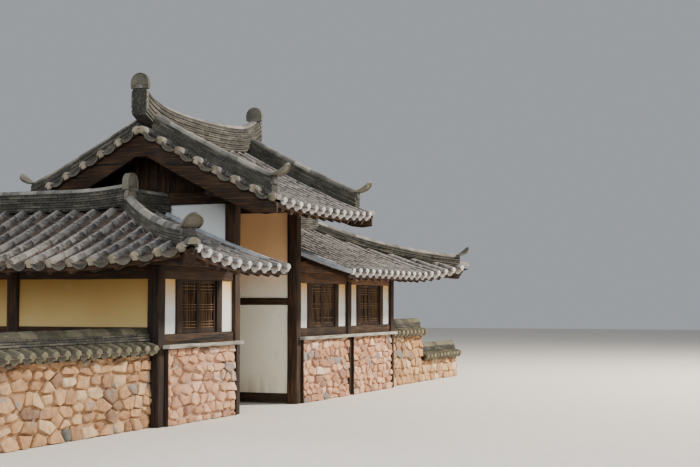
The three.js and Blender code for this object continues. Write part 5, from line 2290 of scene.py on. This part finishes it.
@dataclass
class StreetWall:
    """A rubble wall along the street, in one or more stretches, with stones on one end."""

    name: str
    stretches: Sequence[tuple[Range, float]]
    end: WallLine
    finishes: Finishes
    front: float = -1.08
    thick: float = 0.35
    bedding: float = 0.052

    def build(self) -> None:
        """Makes the mortar and the stones of both faces and the end."""
        draw = random.Random(self.name)
        pile = Pile()
        half = self.thick / 2
        middle = self.front + half
        ys = around(middle, self.thick - 2 * self.bedding)
        for us, top in self.stretches:
            core = block((us, ys, (0.0, top)), cuts=(60, 0, 14))
            for vert in core.verts:
                vert.co.y += 0.016 * noise.noise(vert.co * 11.0)
            pile.take(core, 0.5, 1)
            for out in (-1, 1):
                line = WallLine(Axis.X, middle, out)
                RubbleFace(line, us, (0.002, top - 0.004), half, 0.155).build(pile, draw)
        ys = around(middle, self.thick - 0.06)
        top = self.stretches[0 if self.end.out < 0 else -1][1]
        RubbleFace(self.end, ys, (0.002, top - 0.004), 0.05, 0.16).build(pile, draw)
        kit = self.finishes
        piece(self.name, pile, [kit["tan_fieldstone"], kit["sandy_mortar"]], [self.name], 50.0)


@dataclass
class Coping:
    """The little tiled roof of a street wall."""

    name: str
    us: Range
    base: float
    finishes: Finishes
    seed: int
    pitch: float = 0.225
    ys: Range = (-1.195, -0.615)
    rise: float = 0.07
    eave: float = 0.08
    bed: float = 0.4

    def build(self) -> None:
        """Lays the tiles on both sides and stacks the ridge."""
        draw = random.Random(self.seed)
        middle, half = sum(self.ys) / 2, (self.ys[1] - self.ys[0]) / 2
        grade = 0.93 * self.rise / 0.19

        def point(x: float, y: float) -> Vector:
            """The coping's surface at the tile crowns."""
            return Vector((x, y, self.base + self.eave + 0.03 + grade * (half - abs(y - middle))))

        stock = Stock()
        sizes = TileSizes(0.066, 0.24, 0.2, 0.205, 0.016, -0.045, 0.03, 0.02, 0.046)
        rows = rows_between(self.us[0] + 0.07, self.us[1] - 0.07, self.pitch)
        for way, places, ends in ((1.0, rows, self.us), (-1.0, mirrored(rows), (-self.us[1], -self.us[0]))):
            slope = Slope((0.0, middle - way * half), (0.0, way), point=point)
            trims = [top_trim(half - 0.03), side_trim(ends[0], -1.0), side_trim(ends[1], 1.0)]
            TiledSlope(slope, places, ends, trims, (0.0, half), sizes=sizes).lay(draw, stock)
        bed = block((self.us, around(middle, self.bed), (self.base + GAP, self.base + 0.08)))
        stock.channels.take(bed, 0.3)
        stacks, ridge_caps = Pile(), Pile()
        top = self.base + self.eave + self.rise - 0.01
        line = line_over(lambda x, y: Vector((x, y, top)), (self.us[0], middle), (self.us[1], middle))
        RidgeStack(line, 0.26, 0.2, 0.1, 0.03, radius=0.1).build(draw, stacks, ridge_caps)
        kit = self.finishes
        tile, lime = kit["mossy_tile"], kit["mossy_mortar"]
        for suffix, pile, finishes, nodes in (
            ("barrels", stock.barrels, [tile, lime], [self.name]),
            ("channels", stock.channels, [kit["channel_tile"]], ()),
            ("bed", stock.decks, [lime], ()),
            ("ends", stock.caps, [tile, lime, tile], ()),
            ("layers", stacks, [kit["ridge_tile"], lime], ()),
            ("caps", ridge_caps, [tile], ()),
        ):
            piece(f"{self.name}_{suffix}", pile, finishes, nodes)


# The scene


@dataclass
class Studio:
    """A pale floor, soft light, and a camera where the photograph was taken."""

    stand: tuple[float, float, float] = (-18.37, -9.78, 1.6)
    heading: Plan = (0.9288, 0.3706)
    pitch: float = 2.88
    lens: float = 69.5
    sensor: float = 36.0
    aim: tuple[float, float, float] = (0.5, 0.0, 1.5)
    sky: tuple[float, float, float, float] = (0.86, 0.9, 0.96, 1.0)
    sky_strength: float = 0.42
    floor: float = 60.0

    def show(self, name: str, data: bpy.types.ID) -> bpy.types.Object:
        """Puts a new object in the scene.

        Args:
            name: Its name.
            data: Its mesh, lamp or camera.

        Returns:
            The object.
        """
        made = bpy.data.objects.new(name, data)
        bpy.context.scene.collection.objects.link(made)
        return made

    def camera(self) -> None:
        """Sets the camera up."""
        data = bpy.data.cameras.new("camera")
        data.lens = self.lens
        data.sensor_width = self.sensor
        data.sensor_fit = "HORIZONTAL"
        data.clip_end = 500.0
        ahead = Vector((*self.heading, math.tan(math.radians(self.pitch)))).normalized()
        turn = ahead.to_track_quat("-Z", "Y").to_matrix().to_4x4()
        made = self.show("camera", data)
        made.matrix_world = Matrix.Translation(self.stand) @ turn
        bpy.context.scene.camera = made

    def light(self, name: str, at: Colour, size: float, power: float, colour: Colour) -> None:
        """Hangs a large soft lamp that looks at the house.

        Args:
            name: Its name.
            at: Where it hangs.
            size: Its width.
            power: Its power in watts.
            colour: Its colour.
        """
        data = bpy.data.lights.new(name, "AREA")
        data.shape = "DISK"
        data.size = size
        data.energy = power
        data.color = colour
        made = self.show(name, data)
        made.location = at
        made.rotation_euler = (Vector(self.aim) - Vector(at)).to_track_quat("-Z", "Y").to_euler()

    def build(self) -> None:
        """Makes the camera, the lights, the sky and the floor."""
        self.camera()
        self.light("key_light", (13.0, -17.0, 15.0), 4.0, 12000.0, (1.0, 0.93, 0.83))
        self.light("fill_light", (-20.0, -8.0, 9.0), 12.0, 2700.0, (0.88, 0.94, 1.0))
        self.light("back_light", (-4.0, 16.0, 14.0), 12.0, 1800.0, (1.0, 0.98, 0.95))
        world = bpy.data.worlds.new("studio")
        bpy.context.scene.world = world
        world.use_nodes = True
        sky = world.node_tree.nodes["Background"]
        sky.inputs["Color"].default_value = self.sky
        sky.inputs["Strength"].default_value = self.sky_strength
        mesh = bmesh.new()
        ops.create_grid(mesh, x_segments=1, y_segments=1, size=self.floor)
        data = patterned(mesh, "floor")
        stone = ClayFinish("pale_floor", (0.74, 0.7, 0.64), (0.68, 0.64, 0.58), 20.0, 0.001)
        data.materials.append(stone.make())
        self.show("floor", data)


@dataclass
class Gatehouse:
    """The whole house."""

    finishes: Finishes = field(default_factory=Finishes)
    wall_high: float = 0.93
    wall_low: float = 0.43

    def dress_nodes(self) -> None:
        """Gives the plasters and floors of the CAD model, which stay, their finishes."""
        own = {
            "gate_left_plaster": "white_plaster",
            "gate_right_plaster": "porch_plaster",
            "gate_over_door_panel": "porch_plaster",
            "left_wing_side_plaster": "warm_plaster",
        }
        kinds = {"plaster": "lime_plaster", "floor": "packed_earth"}
        for name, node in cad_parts.items():
            finish = own.get(name) or kinds.get(name.rpartition("_")[2])
            if finish:
                for slot in node.material_slots:
                    slot.material = self.finishes[finish]

    def build(self) -> None:
        """Builds every sub-assembly in order."""
        kit = self.finishes
        self.dress_nodes()
        Carpentry(kit).build()
        build_rafters(kit)
        for roof in (LeftRoof(kit), RightRoof(kit), GateRoof(kit)):
            roof.build()
        first, second = RIGHT_BAYS
        fronts = (("left_wing", "", LEFT_RIDGE_X), ("right_wing", "_1", first), ("right_wing", "_2", second))
        for wing, number, middle in fronts:
            Wainscot(f"{wing}_wainscot{number}", middle, kit).build()
        for wing, number, middle in fronts:
            LatticeWindow(f"{wing}_window{number}", STREET, middle, kit).build()
        LatticeWindow("right_wing_yard_window", YARD, second, kit).build()
        self.doors()
        self.street_walls()

    def doors(self) -> None:
        """Hangs the four fixed leaves."""
        kit, zs = self.finishes, (GROUND_BEAM[1] + 0.001, WINDOW_TOP - 0.001)
        for name, line, middle in (
            ("left_wing_court_door", LEFT_COURT, BACK_BAY),
            ("right_wing_yard_door", YARD, RIGHT_BAYS[0]),
        ):
            PlankDoor(name, line, around(middle, DOOR_WIDTH - 0.004), zs, kit).build()
        zs = (0.171, 2.149)
        PlankDoor("gate_door_left", DOORS, (-GATE_OPENING + 0.002, -0.002), zs, kit).build()
        PlankDoor("gate_door_right", DOORS, (0.002, GATE_OPENING - 0.002), zs, kit).build()

    def street_walls(self) -> None:
        """Builds the walls along the street and their copings."""
        kit, tall, short = self.finishes, self.wall_high, self.wall_low
        left, high, low = (-7.2, LEFT_END - FACE), (RIGHT_END + FACE, 7.4), (7.4, 9.7)
        StreetWall("left_street_wall", [(left, tall)], WallLine(Axis.Y, left[0] + 0.05, -1), kit).build()
        end = WallLine(Axis.Y, low[1] - 0.05, 1)
        StreetWall("right_street_wall", [(high, tall), (low, short)], end, kit).build()
        Coping("left_street_wall_coping", left, tall, kit, 51).build()
        Coping("right_street_wall_coping_high", high, tall, kit, 52).build()
        Coping("right_street_wall_coping_low", (low[0] + 0.001, low[1]), short, kit, 53).build()


def main() -> None:
    """Builds the studio and the house."""
    logging.basicConfig(level=logging.INFO, format="%(message)s")
    noise.seed_set(NOISE_SEED)
    Studio().build()
    Gatehouse().build()
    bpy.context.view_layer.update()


if __name__ == "__main__":
    main()
